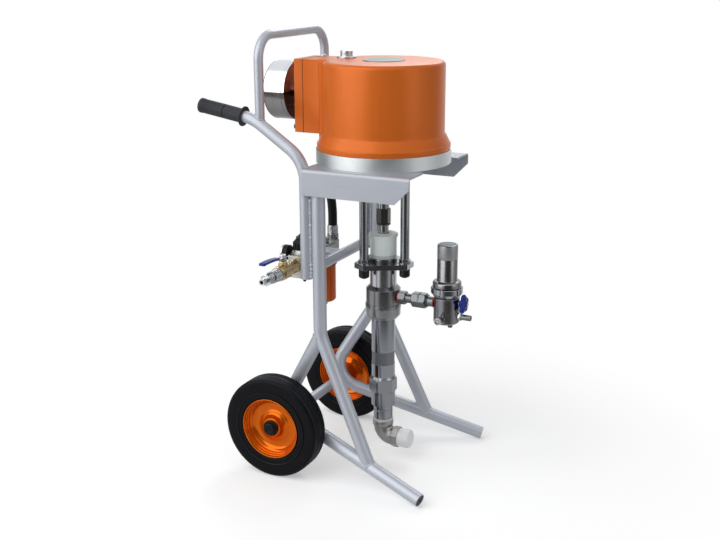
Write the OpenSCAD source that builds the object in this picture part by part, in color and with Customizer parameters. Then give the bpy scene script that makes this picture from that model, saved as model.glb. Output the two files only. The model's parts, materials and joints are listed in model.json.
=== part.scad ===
// Air-driven airless paint sprayer on a two-wheeled cart.
// Frame: +Z up, floor at z = 0, operator's side +Y, front -Y, operator's right -X.

/* [Frame tubes] */
// Outside diameter of the leg and skid tubes
tube_d = 32; // [30:0.5:33]
// Outside diameter of the two handle tubes
handle_d = 28; // [26:0.5:30]
// Wall of the frame tubes
tube_wall = 2; // [1.5:0.1:3]
// Outside diameter of the two cross tubes
cross_d = 25; // [24:0.5:26]
// Half the distance between the two legs
leg_x = 160; // [156:1:166]
// Distance of the upright legs behind the pump axis
leg_y = 91; // [88:1:94]
// Height of the bend in the legs
leg_bend_z = 366; // [350:1:380]
// Bend radius of the legs
leg_bend_r = 70; // [50:1:90]
// Clear gap between an upright leg and the handle tube behind it
handle_gap = 3; // [2:0.5:5]
// Height of the lower end of a handle tube
handle_foot_z = 503; // [480:1:520]
// Height of the corner where a handle tube leans back, above the motor deck
handle_corner_rise = 14.5; // [8:0.5:24]
// Radius of the lower handle bend
handle_bend_r = 87.5; // [75:0.5:100]
// How far back the upper handle corner lies from the lower one
handle_run = 134.5; // [128:0.5:140]
// How far up the upper handle corner lies from the lower one
handle_rise = 90; // [84:0.5:96]
// Radius of the upper handle bend
handle_top_r = 120; // [100:1:130]
// Length of a handle tube past its upper corner
handle_end_run = 140.5; // [134:0.5:148]
// Rise of a handle tube past its upper corner
handle_end_rise = 23.5; // [18:0.5:28]
// Height of the upper cross tube
cross_z = 538; // [525:1:550]

/* [Feet] */
// Half width of the cart at the rear corner of the skids
corner_x = 122.5; // [119:0.5:123.5]
// Distance of the rear corner behind the pump axis
corner_y = 225; // [220:1:230]
// Height of the rear corner
corner_z = 138; // [134:1:142]
// Bend radius at the rear corner
corner_r = 65; // [60:1:70]
// Half width of the cart at the skid tips
tip_x = 208; // [200:1:211]
// Distance of the skid tips in front of the pump axis
tip_reach = 193; // [180:1:200]
// Distance in front of the pump axis at which a leg meets its skid
joint_reach = 47; // [40:1:55]
// Length of the plug pushed into a skid tip
plug_len = 16; // [10:1:20]

/* [Hoop and grips] */
// Outside diameter of the lifting hoop's tube
hoop_d = 22; // [20:0.5:24]
// Half the distance between the hoop's posts
hoop_x = 160; // [158:0.5:164]
// Distance of the lifting hoop behind the pump axis
hoop_y = 242; // [238:1:246]
// Height of the hoop's top centre line above the motor deck
hoop_rise = 294; // [286:1:304]
// Bend radius of the hoop
hoop_r = 55; // [45:1:65]
// Diameter of a handle grip
grip_d = 34; // [32:0.5:38]
// Length of a grip
grip_len = 122.5; // [115:0.5:128]
// Diameter of the grip's hand guard
guard_d = 47.5; // [44:0.5:52]
// Width of the grip's hand guard
guard_w = 3.5; // [3:0.5:6]
// Height of the lip round the grip's rear end
grip_lip = 0.8; // [0.5:0.1:1.5]

/* [Wheels] */
// Tyre diameter
tyre_d = 254; // [248:1:260]
// Distance of the axle behind the pump axis
axle_y = 199; // [197:1:202]
// Half the distance between the wheels' middle planes
track_half = 199.5; // [199:0.5:202]
// Width across the tyre's side walls
tyre_w = 59.5; // [57:0.5:60.5]
// Radius of the rim edge
rim_r = 76.5; // [72:0.5:80]
// Width across the rim edges
rim_w = 58; // [55:0.5:60]
// Diameter of the axle shaft
axle_d = 20; // [18:0.5:21]
// Diameter of the wheel hub
hub_d = 44; // [40:1:48]
// Length of the wheel hub
hub_len = 60; // [56:1:62]
// Thickness of an axle washer
washer_t = 3; // [2:0.5:4]
// Diameter of an axle cap
axle_cap_d = 40; // [36:1:44]
// Height of an axle cap
axle_cap_h = 11; // [9:0.5:13]

/* [Motor brackets] */
// Height of the brackets' top face, on which the motor stands
deck_z = 768.5; // [764:0.5:774]
// Plate thickness of the brackets
plate_t = 4; // [3:0.5:5]
// Height of a bracket's side web
web_h = 62; // [54:1:70]
// How far the brackets reach in front of the pump axis
web_front = 146; // [138:1:152]
// How far the brackets reach behind the pump axis
web_rear = 124; // [122:1:126]
// Size of the corner cut from the web's lower front
web_cut = 36; // [28:1:42]
// Half the free width between the two top flanges
deck_half = 105; // [98:1:112]
// Outer bend radius of a bracket
fold_r = 8; // [6:0.5:10]

/* [Air motor] */
// Radius of the motor base
base_r = 160.5; // [156:0.5:164]
// Thickness of the motor base
base_h = 31.5; // [28:0.5:36]
// Radius of the cover's lower band
band_r = 158.5; // [155:0.5:160]
// Height of the cover's lower band
band_h = 14; // [10:0.5:18]
// Height of the cover's cone
cone_h = 22; // [18:1:26]
// Radius of the cover's cylinder
cover_r = 144; // [140:0.5:148]
// Height of the cover above the base
cover_h = 203.5; // [198:0.5:210]
// Edge radius on top of the cover
cover_edge = 11; // [8:0.5:14]
// Wall of the cover
cover_wall = 4; // [3:0.5:5]
// Inner radius of the air cylinder
bore_r = 110; // [104:0.5:114]
// Wall of the air cylinder
bore_wall = 8; // [6:0.5:10]
// Stroke of the air motor and the pump
stroke = 100; // [90:1:104]
// Thickness of the air piston
piston_h = 26; // [22:1:30]
// Radius of the motor's piston rod
motor_rod_r = 14; // [13:0.5:15]
// Radius of the bare disc on top of the cover
disc_r = 50; // [44:1:54]
// Thickness of that disc
disc_t = 1.5; // [1:0.5:3]
// Sideways place of the oil filler
filler_x = 25.5; // [20:0.5:30]
// Distance of the oil filler behind the pump axis
filler_y = 110; // [104:1:114]
// Radius of the oil filler cap
filler_r = 15; // [12:0.5:17]
// Height of the oil filler cap
filler_h = 18; // [14:0.5:24]

/* [Valve box and muffler] */
// Half width of the valve box
box_half = 51; // [46:1:56]
// Distance of the box's end plate behind the pump axis
plate_y = 188.5; // [184:0.5:194]
// Thickness of the end plate
end_plate_t = 23; // [18:1:28]
// Height of the box's bottom above the motor base
box_rise = 30; // [26:1:34]
// Wall of the valve box
box_wall = 7; // [5:0.5:9]
// Radius of the valve spool
spool_r = 16; // [14:0.5:18]
// Travel of the valve spool
spool_travel = 10; // [6:1:12]
// Radius of the muffler drum
drum_r = 71; // [66:0.5:74]
// Length of the muffler drum
drum_len = 61; // [54:1:66]
// Edge radius on the back of the drum
drum_edge = 8; // [5:0.5:14]
// Gap between the end plate and the drum, spanned by the neck
neck_len = 18; // [12:1:24]
// Radius of the muffler neck
neck_r = 16; // [13:0.5:20]
// Wall of the muffler
drum_wall = 1.5; // [1:0.5:3]
// Height of the muffler's axis above the motor base
drum_rise = 124.5; // [120:0.5:128]

/* [Tie rods and plate] */
// Number of tie rods between motor and pump
tie_count = 3; // [3:1:3]
// Radius of the circle of tie rods
tie_circle = 57; // [55:0.5:60]
// Radius of a tie rod
tie_r = 11; // [9:0.5:12]
// Radius of a tie rod's threaded ends
stud_r = 7; // [6:0.5:8]
// Depth of a tie rod's thread in the motor base
stud_len = 20; // [16:1:24]
// Height of the tie plate's lower face
tie_plate_z = 510; // [506:1:514]
// Thickness of the tie plate
tie_plate_t = 12.5; // [10:0.5:16]
// Distance from the pump axis to the plate's short sides
tie_plate_reach = 72.5; // [72:0.5:76]
// Length of the plate's short sides
tie_plate_side = 38; // [34:1:44]
// Radius of the nuts under the tie plate
tie_nut_r = 13; // [12:0.5:14]
// Height of those nuts
tie_nut_h = 22; // [18:1:26]

/* [Pump] */
// Radius of the pump rod
pump_rod_r = 13; // [12:0.5:13.5]
// Height of the coupling nut's lower face
coupling_z = 616; // [613:0.5:620]
// Height of the coupling nut
coupling_h = 37; // [32:1:42]
// Corner radius of the hexagonal coupling nut
coupling_r = 18; // [17:0.5:20]
// Radius of the threads inside the coupling nut
coupling_thread_r = 10; // [8:0.5:11]
// Radius of the solvent cup
cup_r = 32.5; // [30:0.5:34]
// Height of the solvent cup
cup_h = 55; // [48:1:56]
// Wall of the solvent cup
cup_wall = 3; // [2:0.5:4]
// Radius of the cup's lid
lid_r = 35; // [34:0.5:37]
// Height of the cup's lid
lid_h = 7.5; // [6:0.5:9]
// Radius of the gland nut on the tie plate
gland_nut_r = 34; // [32:0.5:36]
// Height of the gland nut
gland_nut_h = 5.5; // [4:0.5:7]
// Radius of the gland body under the tie plate
gland_r = 33; // [31:0.5:35]
// Height of the gland body under the tie plate
gland_h = 49; // [44:1:54]
// Radius of the gland body's spigot through the plate
spigot_r = 24; // [23:0.5:25]
// Outer radius of the throat packing
packing_r = 20; // [18:0.5:21]
// Height of the throat packing
packing_h = 34; // [28:1:38]
// Radius of the outlet body
outlet_r = 42.5; // [41:0.5:44]
// Height of the outlet body
outlet_h = 47; // [44:1:50]
// Width of the bevel on the outlet body
outlet_bevel = 8.5; // [6:0.5:10]
// Radius of the union nut
union_r = 44.5; // [43:0.5:46]
// Height of the union nut
union_h = 37; // [34:1:40]
// Outer radius of the pump cylinder
cyl_r = 29.5; // [28.5:0.5:31]
// Inner radius of the pump cylinder
pump_bore_r = 20; // [18:0.5:21]
// Length of the pump cylinder
cyl_len = 190; // [184:1:196]
// Length of the pump cylinder's plain lower end
cyl_foot_len = 33; // [28:1:38]
// Length of the pump cylinder's turned waist above that end
cyl_waist_len = 33; // [28:1:38]
// Depth of the turned waist
cyl_waist_cut = 1; // [0.5:0.5:2]
// Height of the pump piston
pump_piston_h = 36; // [32:1:40]
// Corner radius of the foot valve's hexagon
foot_hex_r = 36; // [34:0.5:38]
// Height of the foot valve's hexagon
foot_hex_h = 34; // [30:1:38]
// Height of the chamfered shoulder above the hexagon
foot_shoulder_h = 7; // [5:0.5:9]
// Radius of the foot valve's lower collar
foot_collar_r = 30; // [28:0.5:32]
// Height of the foot valve's lower collar
foot_collar_h = 37.5; // [34:0.5:42]
// Radius of the foot valve ball
foot_ball_r = 12; // [11:0.5:12.5]
// Lift of the foot valve ball
foot_ball_lift = 6; // [4:0.5:7]
// Radius of the ball in the pump piston
piston_ball_r = 8; // [7:0.5:8.5]
// Lift of the ball in the pump piston
piston_ball_lift = 5; // [3:0.5:5.5]
// Radius of the suction elbow
elbow_r = 23.7; // [22:0.1:25]
// Bend radius of the suction elbow
elbow_bend = 28; // [26:0.5:32]
// Wall of the suction elbow
elbow_wall = 6; // [4:0.5:7]
// Reach of the elbow's collar in front of the pump axis
elbow_reach = 47; // [44:0.5:50]
// Width of the elbow's collar
elbow_collar_w = 15; // [12:1:17]
// Length of the elbow's thread past the collar
elbow_thread = 27; // [22:1:30]
// Wall of the suction cap
suction_cap_wall = 2.5; // [2:0.5:3]

/* [Filter] */
// Distance of the filter's axis in front of the pump axis
filter_reach = 168; // [164:1:172]
// Radius of the filter body
filter_r = 31.5; // [30:0.5:33]
// Height of the filter body
filter_h = 67; // [62:1:72]
// Radius of the filter's ring nut
ring_nut_r = 38.5; // [37:0.5:40]
// Height of the filter's ring nut
ring_nut_h = 21; // [18:1:24]
// Radius of the filter tube's flange
tube_flange_r = 34.5; // [33:0.5:36]
// Height of the filter tube's flange
tube_flange_h = 21; // [18:1:24]
// Radius of the filter tube
filter_tube_r = 24.5; // [23:0.5:26]
// Height of the filter tube above its flange
filter_tube_h = 89; // [82:1:96]
// Wall of the filter tube
filter_wall = 6; // [5:0.5:7]
// Radius of the filter element
element_r = 15; // [13:0.5:16]
// Radius of the pipes between pump and filter
pipe_r = 11.5; // [10:0.5:13]
// Bore radius of those pipes
pipe_bore_r = 5; // [4:0.5:6]
// Corner radius of the first hexagon on the pipe
hex_a_r = 17.5; // [16:0.5:19]
// Corner radius of the union hexagon on the pipe
hex_b_r = 20; // [18:0.5:22]
// Radius of the hose connector and the bleed outlet
stub_r = 7; // [6:0.5:8]
// Length of the hose connector
hose_stub_len = 27; // [22:1:32]
// Length of the bleed outlet
bleed_stub_len = 31; // [26:1:34]
// Height of both stubs above the filter body's lower face
stub_rise = 18; // [15:0.5:21]
// Height of the bleed valve above the filter body's lower face
bleed_rise = 51; // [48:0.5:53]
// Length of the bleed handle across its wings
wing_len = 47; // [40:1:50]
// Width of the bleed handle
wing_w = 15; // [12:0.5:18]

/* [Air unit] */
// Distance of the air unit behind the pump axis
unit_y = 178; // [176:0.5:180]
// Height of the air unit's through axis
unit_z = 517; // [512:1:522]
// Sideways place of the regulator
reg_x = -82; // [-86:1:-78]
// Width of the regulator body
reg_w = 62; // [58:1:66]
// Depth of the regulator body
reg_d = 50; // [46:1:52]
// Height of the regulator body
reg_h = 67; // [62:1:72]
// Radius of the regulator knob
knob_r = 25; // [22:0.5:28]
// Height of the regulator knob
knob_h = 30; // [26:1:34]
// Sideways place of the lubricator
lub_x = 30; // [27:1:33]
// Width of the lubricator head
lub_w = 58; // [54:1:62]
// Height of the lubricator head
lub_h = 52; // [46:1:56]
// Radius of the lubricator bowl
bowl_r = 27; // [25:0.5:28]
// Height of the lubricator bowl
bowl_h = 110; // [100:1:120]
// Wall of the lubricator bowl
bowl_wall = 3; // [2:0.5:4]
// Radius of the pressure gauge
gauge_r = 19; // [17:0.5:22]
// Depth of the pressure gauge
gauge_d = 20; // [16:1:24]
// Length of the gauge's neck
gauge_neck = 10; // [6:1:14]
// Corner radius of the air valve's hexagons
valve_hex_r = 19; // [18:0.5:21]
// Length of the air valve
valve_len = 92; // [84:1:96]
// Length of the air valve's lever
lever_len = 98; // [88:1:106]
// Width of the lever
lever_w = 15; // [12:0.5:18]
// Height of the lever above the valve's axis
lever_rise = 36; // [33:0.5:40]
// Length of the inlet fittings
inlet_len = 73; // [66:1:78]
// Radius of the inlet nose
nose_r = 7.5; // [6.5:0.5:8.5]
// Length of the inlet nose
nose_len = 18; // [14:1:22]

/* [Air hose] */
// Outside radius of the air hose
hose_r = 11.5; // [10:0.5:12.5]
// Bore radius of the air hose
hose_bore_r = 7; // [6:0.5:8]
// Bend radius of the air hose
hose_bend_r = 180; // [150:5:220]
// Sideways place of the hose's upper end
hose_top_x = 36; // [34:0.5:38]
// Sideways place of the hose's lower end
hose_foot_x = 73; // [71:0.5:75]
// Length of a hose fitting
hose_fitting = 36; // [30:1:42]
// Corner radius of the hose fittings' hexagons
hose_hex_r = 15; // [13:0.5:16]

/* [Fits] */
// Radial clearance of a running fit
run_fit = 0.05; // [0.03:0.01:0.09]
// Clearance around threads and screws
thread_fit = 0.15; // [0.1:0.05:0.3]
// Play between two tubes that are welded together
weld_gap = 0.1; // [0.05:0.05:0.2]
// Clearance between faces that pass each other
free_gap = 0.3; // [0.2:0.05:0.5]

/* [Hidden] */
$fn = 64;

// Colours
paint = [0.74, 0.75, 0.77];
orange = [0.90, 0.45, 0.13];
steel = [0.62, 0.63, 0.64];
bright = [0.80, 0.81, 0.82];
dark = [0.28, 0.28, 0.27];
black = [0.10, 0.10, 0.11];
white = [0.92, 0.93, 0.90];
brass = [0.72, 0.58, 0.33];
blue = [0.10, 0.18, 0.62];

// Heights worked out from the stack on the deck and on the tie plate
tube_r = tube_d / 2;
handle_r = handle_d / 2;
hoop_tube_r = hoop_d / 2;
cross_r = cross_d / 2;
handle_x = leg_x + tube_r - handle_r;
handle_y = leg_y + tube_r + handle_gap + handle_r;
hoop_z = deck_z + hoop_rise;
base_top = deck_z + base_h;
cover_top = base_top + cover_h;
box_bottom = base_top + box_rise;
tie_top = tie_plate_z + tie_plate_t;
cup_z = tie_top + gland_nut_h;
lid_z = cup_z + cup_h;
gland_z = tie_plate_z - gland_h;
outlet_z = gland_z - outlet_h;
cyl_foot = outlet_z - cyl_len;
foot_hex_z = cyl_foot - foot_shoulder_h - foot_hex_h;
foot_z = foot_hex_z - foot_collar_h;
line_z = outlet_z + outlet_h * 0.42;
rest_gap = 10;
piston_z = base_top + rest_gap;
head_z = piston_z + piston_h + stroke + rest_gap;
head_h = 16;
pump_piston_z = cyl_foot + 8;
packing_z = gland_z + 8;
tyre_r = tyre_d / 2;
over = 1;

// Corners of the bent tubes on the operator's left; the right side is their mirror image
skid_slope = atan2(corner_z - tube_r, corner_y + tip_reach);
tip_z = tube_r * cos(skid_slope);
leg_bend = [leg_x, leg_y, leg_bend_z];
corner = [corner_x, corner_y, corner_z];
tip = [tip_x, -tip_reach, tip_z];
joint_share = (corner_y + joint_reach) / (corner_y + tip_reach);
joint = corner + (tip - corner) * joint_share;
leg_top = [leg_x, leg_y, deck_z - plate_t];
handle_foot = [handle_x, handle_y, handle_foot_z];
handle_low = [handle_x, handle_y, deck_z + handle_corner_rise];
handle_high = handle_low + [0, handle_run, handle_rise];
handle_end = handle_high + [0, handle_end_run, handle_end_rise];
leg_points = [leg_top, leg_bend, joint];
skid_points = [arc_mid(leg_top, leg_bend, joint, leg_bend_r), corner, tip];
handle_points = [handle_foot, handle_low, handle_high, handle_end];
handle_bends = [0, handle_bend_r, handle_top_r, 0];
weld_w = 8;
weld_end = 6;

// Wheel stack along the axle, measured from the middle of the cart
hub_in = track_half - hub_len / 2 - 11;
axle_tube_half = hub_in - free_gap - washer_t;
hub_out = hub_in + hub_len;
cap_in = hub_out + free_gap + washer_t;
cap_out = cap_in + axle_cap_h;

// Screws that hold the motor on its brackets
bolt_r = 5;
bolt_x = 124;
bolt_y = 76;
bolt_depth = 15;
bolt_head_r = 9.5;
bolt_head_h = 7;
nut_end = 4;

// Valve box and muffler
drum_z = base_top + drum_rise;
spool_z = box_bottom + box_wall + spool_r + 8;
spool_len = 22;
spool_end = 2;
box_front = band_r * 0.6;
neck_bore_r = neck_r - 4;

// Valves of the pump: seats and resting places of the two balls
seat_share = 0.78;
foot_seat_z = foot_z + 20;
foot_seat_r = foot_ball_r * seat_share;
foot_ball_z = foot_seat_z + sqrt(foot_ball_r * foot_ball_r - foot_seat_r * foot_seat_r) + free_gap;
cage_z = pump_piston_z + 8;
cage_seat_r = piston_ball_r * seat_share;
piston_ball_z = cage_z + sqrt(piston_ball_r * piston_ball_r - cage_seat_r * cage_seat_r) + free_gap;
cage_top = piston_ball_z + piston_ball_r + piston_ball_lift + free_gap;
thread_share = 0.45;

// Suction elbow
elbow_z = elbow_r + 37;
elbow_tip = elbow_reach + elbow_thread;
spigot_step = 3;

// Outlet line and filter
filter_face = filter_reach - filter_r;
hex_a_y = outlet_r + 1;
hex_b_y = outlet_r + 37.5;
hex_a_w = 19;
hex_b_w = 37;
socket_depth = 8;
stub_bore_r = 3;
bleed_tip = filter_reach + filter_r + bleed_stub_len;
filter_z = line_z - filter_h * 0.69;
filter_top = filter_z + filter_h;
nut_z = filter_top + 1;
flange_seat = 5;
flange_z = nut_z + ring_nut_h - flange_seat;
filter_bore = 21;
filter_floor = 8;
stem_r = 4;
stem_depth = 10;
boss_r = 9;

// Air unit along X
valve_x = reg_x - reg_w / 2;
inlet_x = valve_x - valve_len;
nose_tip = inlet_x - inlet_len;
lever_x = valve_x - valve_len * 0.72;
valve_bore_r = 7.5;
valve_ball_r = 12;
reg_bottom = unit_z - reg_h / 2;
reg_top = reg_bottom + reg_h;
reg_neck = 12;
gauge_rise = 19;
gauge_y = unit_y + reg_d / 2 + gauge_neck;
gauge_stem_r = 5;
gauge_dial = 5;
needle_r = 1;
needle_rest = 45;
lub_bottom = unit_z - lub_h / 2 + 2;
elbow_tube_r = 13;

// Air hose between the lubricator's elbow and the valve box
elbow_top = unit_z + 22;
hose_straight = 50;
hose_foot = [hose_foot_x, unit_y, elbow_top + hose_fitting];
hose_head = [hose_top_x, unit_y, box_bottom - hose_fitting];
hose_points = [hose_foot, hose_foot + [0, 0, hose_straight], hose_head - [0, 0, hose_straight], hose_head];

// The origin lies on the floor, in the middle of the whole outline
grip_end = norm([0, handle_end_run, handle_end_rise]);
handle_dir = [0, handle_end_run, handle_end_rise] / grip_end;
grip_plug = 5;
grip_edge = 2;
grip_lip_w = 7;
back_reach = handle_end.y + grip_plug * handle_dir.y + (grip_d / 2 + grip_lip - grip_edge) * handle_dir.z;
mid_x = (cap_out + nose_tip) / 2;
mid_y = (back_reach - bleed_tip) / 2;

// ---------- Shared shapes ----------
function unit(v) = v / norm(v);
function turn(p, q, s) = acos(unit(q - p) * unit(s - q));
function setback(p, q, s, r) = r * tan(turn(p, q, s) / 2);
function bend_centre(p, q, s, r) = q + unit(unit(p - q) + unit(s - q)) * r / cos(turn(p, q, s) / 2);
function arc_mid(p, q, s, r) = q + unit(unit(p - q) + unit(s - q)) * r * (1 / cos(turn(p, q, s) / 2) - 1);
function arc(c, r, from, to, steps) =
    [for (i = [0:steps]) c + r * [cos(from + (to - from) * i / steps), sin(from + (to - from) * i / steps)]];

// Children with their x, y and z along three given directions
module placed(p, x, y, z)
    multmatrix([[x.x, y.x, z.x, p.x], [x.y, y.y, z.y, p.y], [x.z, y.z, z.z, p.z], [0, 0, 0, 1]]) children();

// Children with +Z turned to direction d
module along(p, d) {
    z = unit(d);
    x = unit(cross(abs(z.x) < 0.9 ? [1, 0, 0] : [0, 1, 0], z));
    placed(p, x, cross(z, x), z) children();
}

module rod(a, b, r) along(a, b - a) cylinder(r = r, h = norm(b - a));

// Quarter or part ring that joins the run p-q to the run q-s
module knee(p, q, s, bend, r) {
    u = unit(q - p);
    n = unit(cross(u, unit(s - q)));
    inward = cross(n, u);
    centre = q - u * setback(p, q, s, bend) + inward * bend;
    placed(centre, -inward, u, n) rotate_extrude(angle = turn(p, q, s)) translate([bend, 0]) circle(r = r);
}

// Solid bar through points, rounded at each inner point to the radius in bends.
// A bend draws the tube in by a hair, and each straight laps over its end.
bend_draw = 0.02;
bend_lap = 0.8;
module bar(points, bends, r) {
    last = len(points) - 1;
    for (i = [0:last - 1]) {
        d = unit(points[i + 1] - points[i]);
        a = i == 0 ? 0 : setback(points[i - 1], points[i], points[i + 1], bends[i]) - bend_lap;
        b = i == last - 1 ? 0 : setback(points[i], points[i + 1], points[i + 2], bends[i + 1]) - bend_lap;
        rod(points[i] + d * a, points[i + 1] - d * b, r);
    }
    for (i = [1:last - 1]) knee(points[i - 1], points[i], points[i + 1], bends[i], r - bend_draw);
}

// The same points with both ends run on by a little, for bores
function run_on(points, by) = let (n = len(points) - 1)
    [for (i = [0:n]) i == 0 ? points[0] - unit(points[1] - points[0]) * by :
        i == n ? points[n] + unit(points[n] - points[n - 1]) * by : points[i]];

module pipe(points, bends, r, wall) difference() {
    bar(points, bends, r);
    bar(run_on(points, over), bends, r - wall);
}

module ring(r_out, r_in, h) difference() {
    cylinder(r = r_out, h = h);
    translate([0, 0, -over]) cylinder(r = r_in, h = h + 2 * over);
}

// Hexagonal prism with chamfered ends and slightly turned corners, about its own axis
module hex(r, h, chamfer = 1) intersection() {
    round_r = r * 0.97;
    cylinder(r = r, h = h, $fn = 6);
    union() {
        cylinder(r1 = round_r - chamfer, r2 = round_r, h = chamfer);
        translate([0, 0, chamfer]) cylinder(r = round_r, h = h - 2 * chamfer);
        translate([0, 0, h - chamfer]) cylinder(r1 = round_r, r2 = round_r - chamfer, h = chamfer);
    }
}

// Disc with a bevelled upper edge
module bevelled(r, h, bevel) {
    cylinder(r = r, h = h - bevel);
    translate([0, 0, h - bevel]) cylinder(r1 = r, r2 = r - bevel, h = bevel);
}

module side(sign) mirror([sign < 0 ? 1 : 0, 0, 0]) children();
module along_x(x, y, z) translate([x, y, z]) rotate([0, 90, 0]) children();
module along_front(x, y, z) translate([x, -y, z]) rotate([90, 0, 0]) children();
module along_back(x, y, z) translate([x, y, z]) rotate([-90, 0, 0]) children();
module at_tie_rods()
    for (i = [0:tie_count - 1]) rotate(-90 + i * 360 / tie_count) translate([tie_circle, 0, 0]) children();
module in_frame() translate([-mid_x, -mid_y, 0]) children();

// ---------- Cart frame ----------
module leg_outline() bar(leg_points, [0, leg_bend_r, 0], tube_r + weld_gap);
module axle_tube_outline(grow = 0) along_x(-axle_tube_half, axle_y, tyre_r)
    cylinder(r = cross_r + grow, h = 2 * axle_tube_half);

module legs() color(paint) for (sign = [-1, 1]) side(sign) difference() {
    pipe(leg_points, [0, leg_bend_r, 0], tube_r, tube_wall);
    rod(corner, tip, tube_r + weld_gap);
}

module skid(sign) color(paint) side(sign) difference() {
    pipe(skid_points, [0, corner_r, 0], tube_r, tube_wall);
    leg_outline();
    axle_tube_outline(weld_gap);
}

module handle_bar(r) bar(run_on(handle_points, over), handle_bends, r);

// One long weld joins the handle tube to the leg, from its foot up to the bracket
module handles() color(paint) for (sign = [-1, 1]) side(sign) difference() {
    union() {
        bar(handle_points, handle_bends, handle_r);
        translate([(leg_x + handle_x - weld_w) / 2, leg_y, handle_foot_z + weld_end])
            cube([weld_w, handle_y - leg_y, deck_z - web_h - handle_foot_z - 2 * weld_end]);
    }
    handle_bar(handle_r - tube_wall);
    rod([leg_x, leg_y, leg_bend_z], leg_top, tube_r + weld_gap);
}

// The hoop's posts end on the centre line of the handle tubes, in their upper bend
module lifting_hoop() color(paint) difference() {
    centre = bend_centre(handle_low, handle_high, handle_end, handle_top_r);
    post_z = centre.z + sqrt(handle_top_r * handle_top_r - (hoop_y - centre.y) * (hoop_y - centre.y));
    outline = [[-hoop_x, post_z], [-hoop_x, hoop_z], [hoop_x, hoop_z], [hoop_x, post_z]];
    pipe([for (p = outline) [p.x, hoop_y, p.y]], [0, hoop_r, hoop_r, 0], hoop_tube_r, tube_wall);
    for (sign = [-1, 1]) side(sign) handle_bar(handle_r + weld_gap);
}

// The upper cross tube carries the welded plate of the air unit
module cross_tubes() color(paint) {
    plate_front = unit_y - reg_d / 2 - plate_t;
    difference() {
        union() {
            along_x(-leg_x, leg_y, cross_z) cylinder(r = cross_r, h = 2 * leg_x);
            translate([-50, leg_y, cross_z - plate_t / 2]) cube([40, plate_front - leg_y, plate_t]);
            translate([reg_x - 16, plate_front, unit_z - 22]) cube([lub_x - reg_x + 32, plate_t, 44]);
        }
        along_x(-leg_x - 1, leg_y, cross_z) cylinder(r = cross_r - tube_wall, h = 2 * leg_x + 2);
        for (sign = [-1, 1]) side(sign) leg_outline();
    }
    difference() {
        axle_tube_outline();
        along_x(-hub_in, axle_y, tyre_r) cylinder(r = axle_d / 2 + run_fit, h = 2 * hub_in);
    }
}

module skid_plugs() color(black) for (sign = [-1, 1]) side(sign) {
    back = unit(corner - tip);
    difference() {
        rod(tip, tip + back * plug_len, tube_r - tube_wall);
        rod(tip - back, tip + back * 4, 3);
    }
}

module grips() color(black) for (sign = [-1, 1]) side(sign) {
    start = handle_end - handle_dir * (grip_len - grip_plug);
    groove_w = 3;
    groove_depth = 1.5;
    along(start, handle_dir) difference() {
        union() {
            cylinder(r = grip_d / 2, h = grip_len - grip_lip_w + over);
            translate([0, 0, grip_len - grip_lip_w]) bevelled(grip_d / 2 + grip_lip, grip_lip_w, grip_edge);
            cylinder(r = guard_d / 2, h = guard_w);
        }
        translate([0, 0, -over]) cylinder(r = handle_r, h = grip_len - grip_plug + over);
        translate([0, 0, grip_len * 0.425]) ring(grip_d / 2 + 1, grip_d / 2 - groove_depth, groove_w);
    }
}

// ---------- Wheels ----------
module axle() color(steel) {
    along_x(-cap_in, axle_y, tyre_r) cylinder(r = axle_d / 2, h = 2 * cap_in);
    for (sign = [-1, 1]) side(sign) for (x = [hub_in - free_gap - washer_t, hub_out + free_gap])
        along_x(x, axle_y, tyre_r) ring(hub_d / 2 - 4, axle_d / 2 + thread_fit, washer_t);
}

module axle_caps() color(black) for (sign = [-1, 1]) side(sign) {
    dome = 6;
    along_x(cap_in, axle_y, tyre_r) rotate_extrude()
        polygon(concat([[0, 0], [axle_cap_d / 2, 0], [axle_cap_d / 2, axle_cap_h - dome - 1],
            [axle_cap_d / 2 - 2, axle_cap_h - dome], [axle_cap_d / 2 - 6, axle_cap_h - dome]],
            [for (i = [1:6]) [(axle_cap_d / 2 - 6) * cos(15 * i), axle_cap_h - dome + dome * sin(15 * i)]]));
}

module wheel_place(sign) side(sign) along_x(track_half, axle_y, tyre_r) children();

module tyre(sign) color(black) wheel_place(sign) {
    half = tyre_w / 2;
    shoulder = 8;
    ring_r = rim_r + 16;
    flat = tyre_r - shoulder;
    seat = rim_r - 8;
    rotate_extrude($fn = 96) polygon(concat(
        [[seat, -rim_w / 2 + 5], [seat, rim_w / 2 - 5], [rim_r - 3, rim_w / 2 - 5],
        [rim_r + 0.5, half - 4], [ring_r - 2, half - 1.5],
        [ring_r - 1, half], [ring_r + 1, half], [ring_r + 2, half - 1]],
        arc([flat, half - shoulder], shoulder, 80, 10, 5),
        [for (k = [0:3]) each [[tyre_r - 0.3, 20 - 4 * k], [tyre_r - 1.8, 19.3 - 4 * k],
            [tyre_r - 1.8, 17.7 - 4 * k], [tyre_r - 0.3, 17 - 4 * k]]],
        [[tyre_r, 6], [tyre_r, -6]],
        [for (k = [3:-1:0]) each [[tyre_r - 0.3, -17 + 4 * k], [tyre_r - 1.8, -17.7 + 4 * k],
            [tyre_r - 1.8, -19.3 + 4 * k], [tyre_r - 0.3, -20 + 4 * k]]],
        arc([flat, -half + shoulder], shoulder, -10, -80, 5),
        [[ring_r + 2, -half + 1], [ring_r + 1, -half], [ring_r - 1, -half], [ring_r - 2, -half + 1.5],
        [rim_r + 0.5, -half + 4], [rim_r - 3, -rim_w / 2 + 5]]));
}

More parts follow.
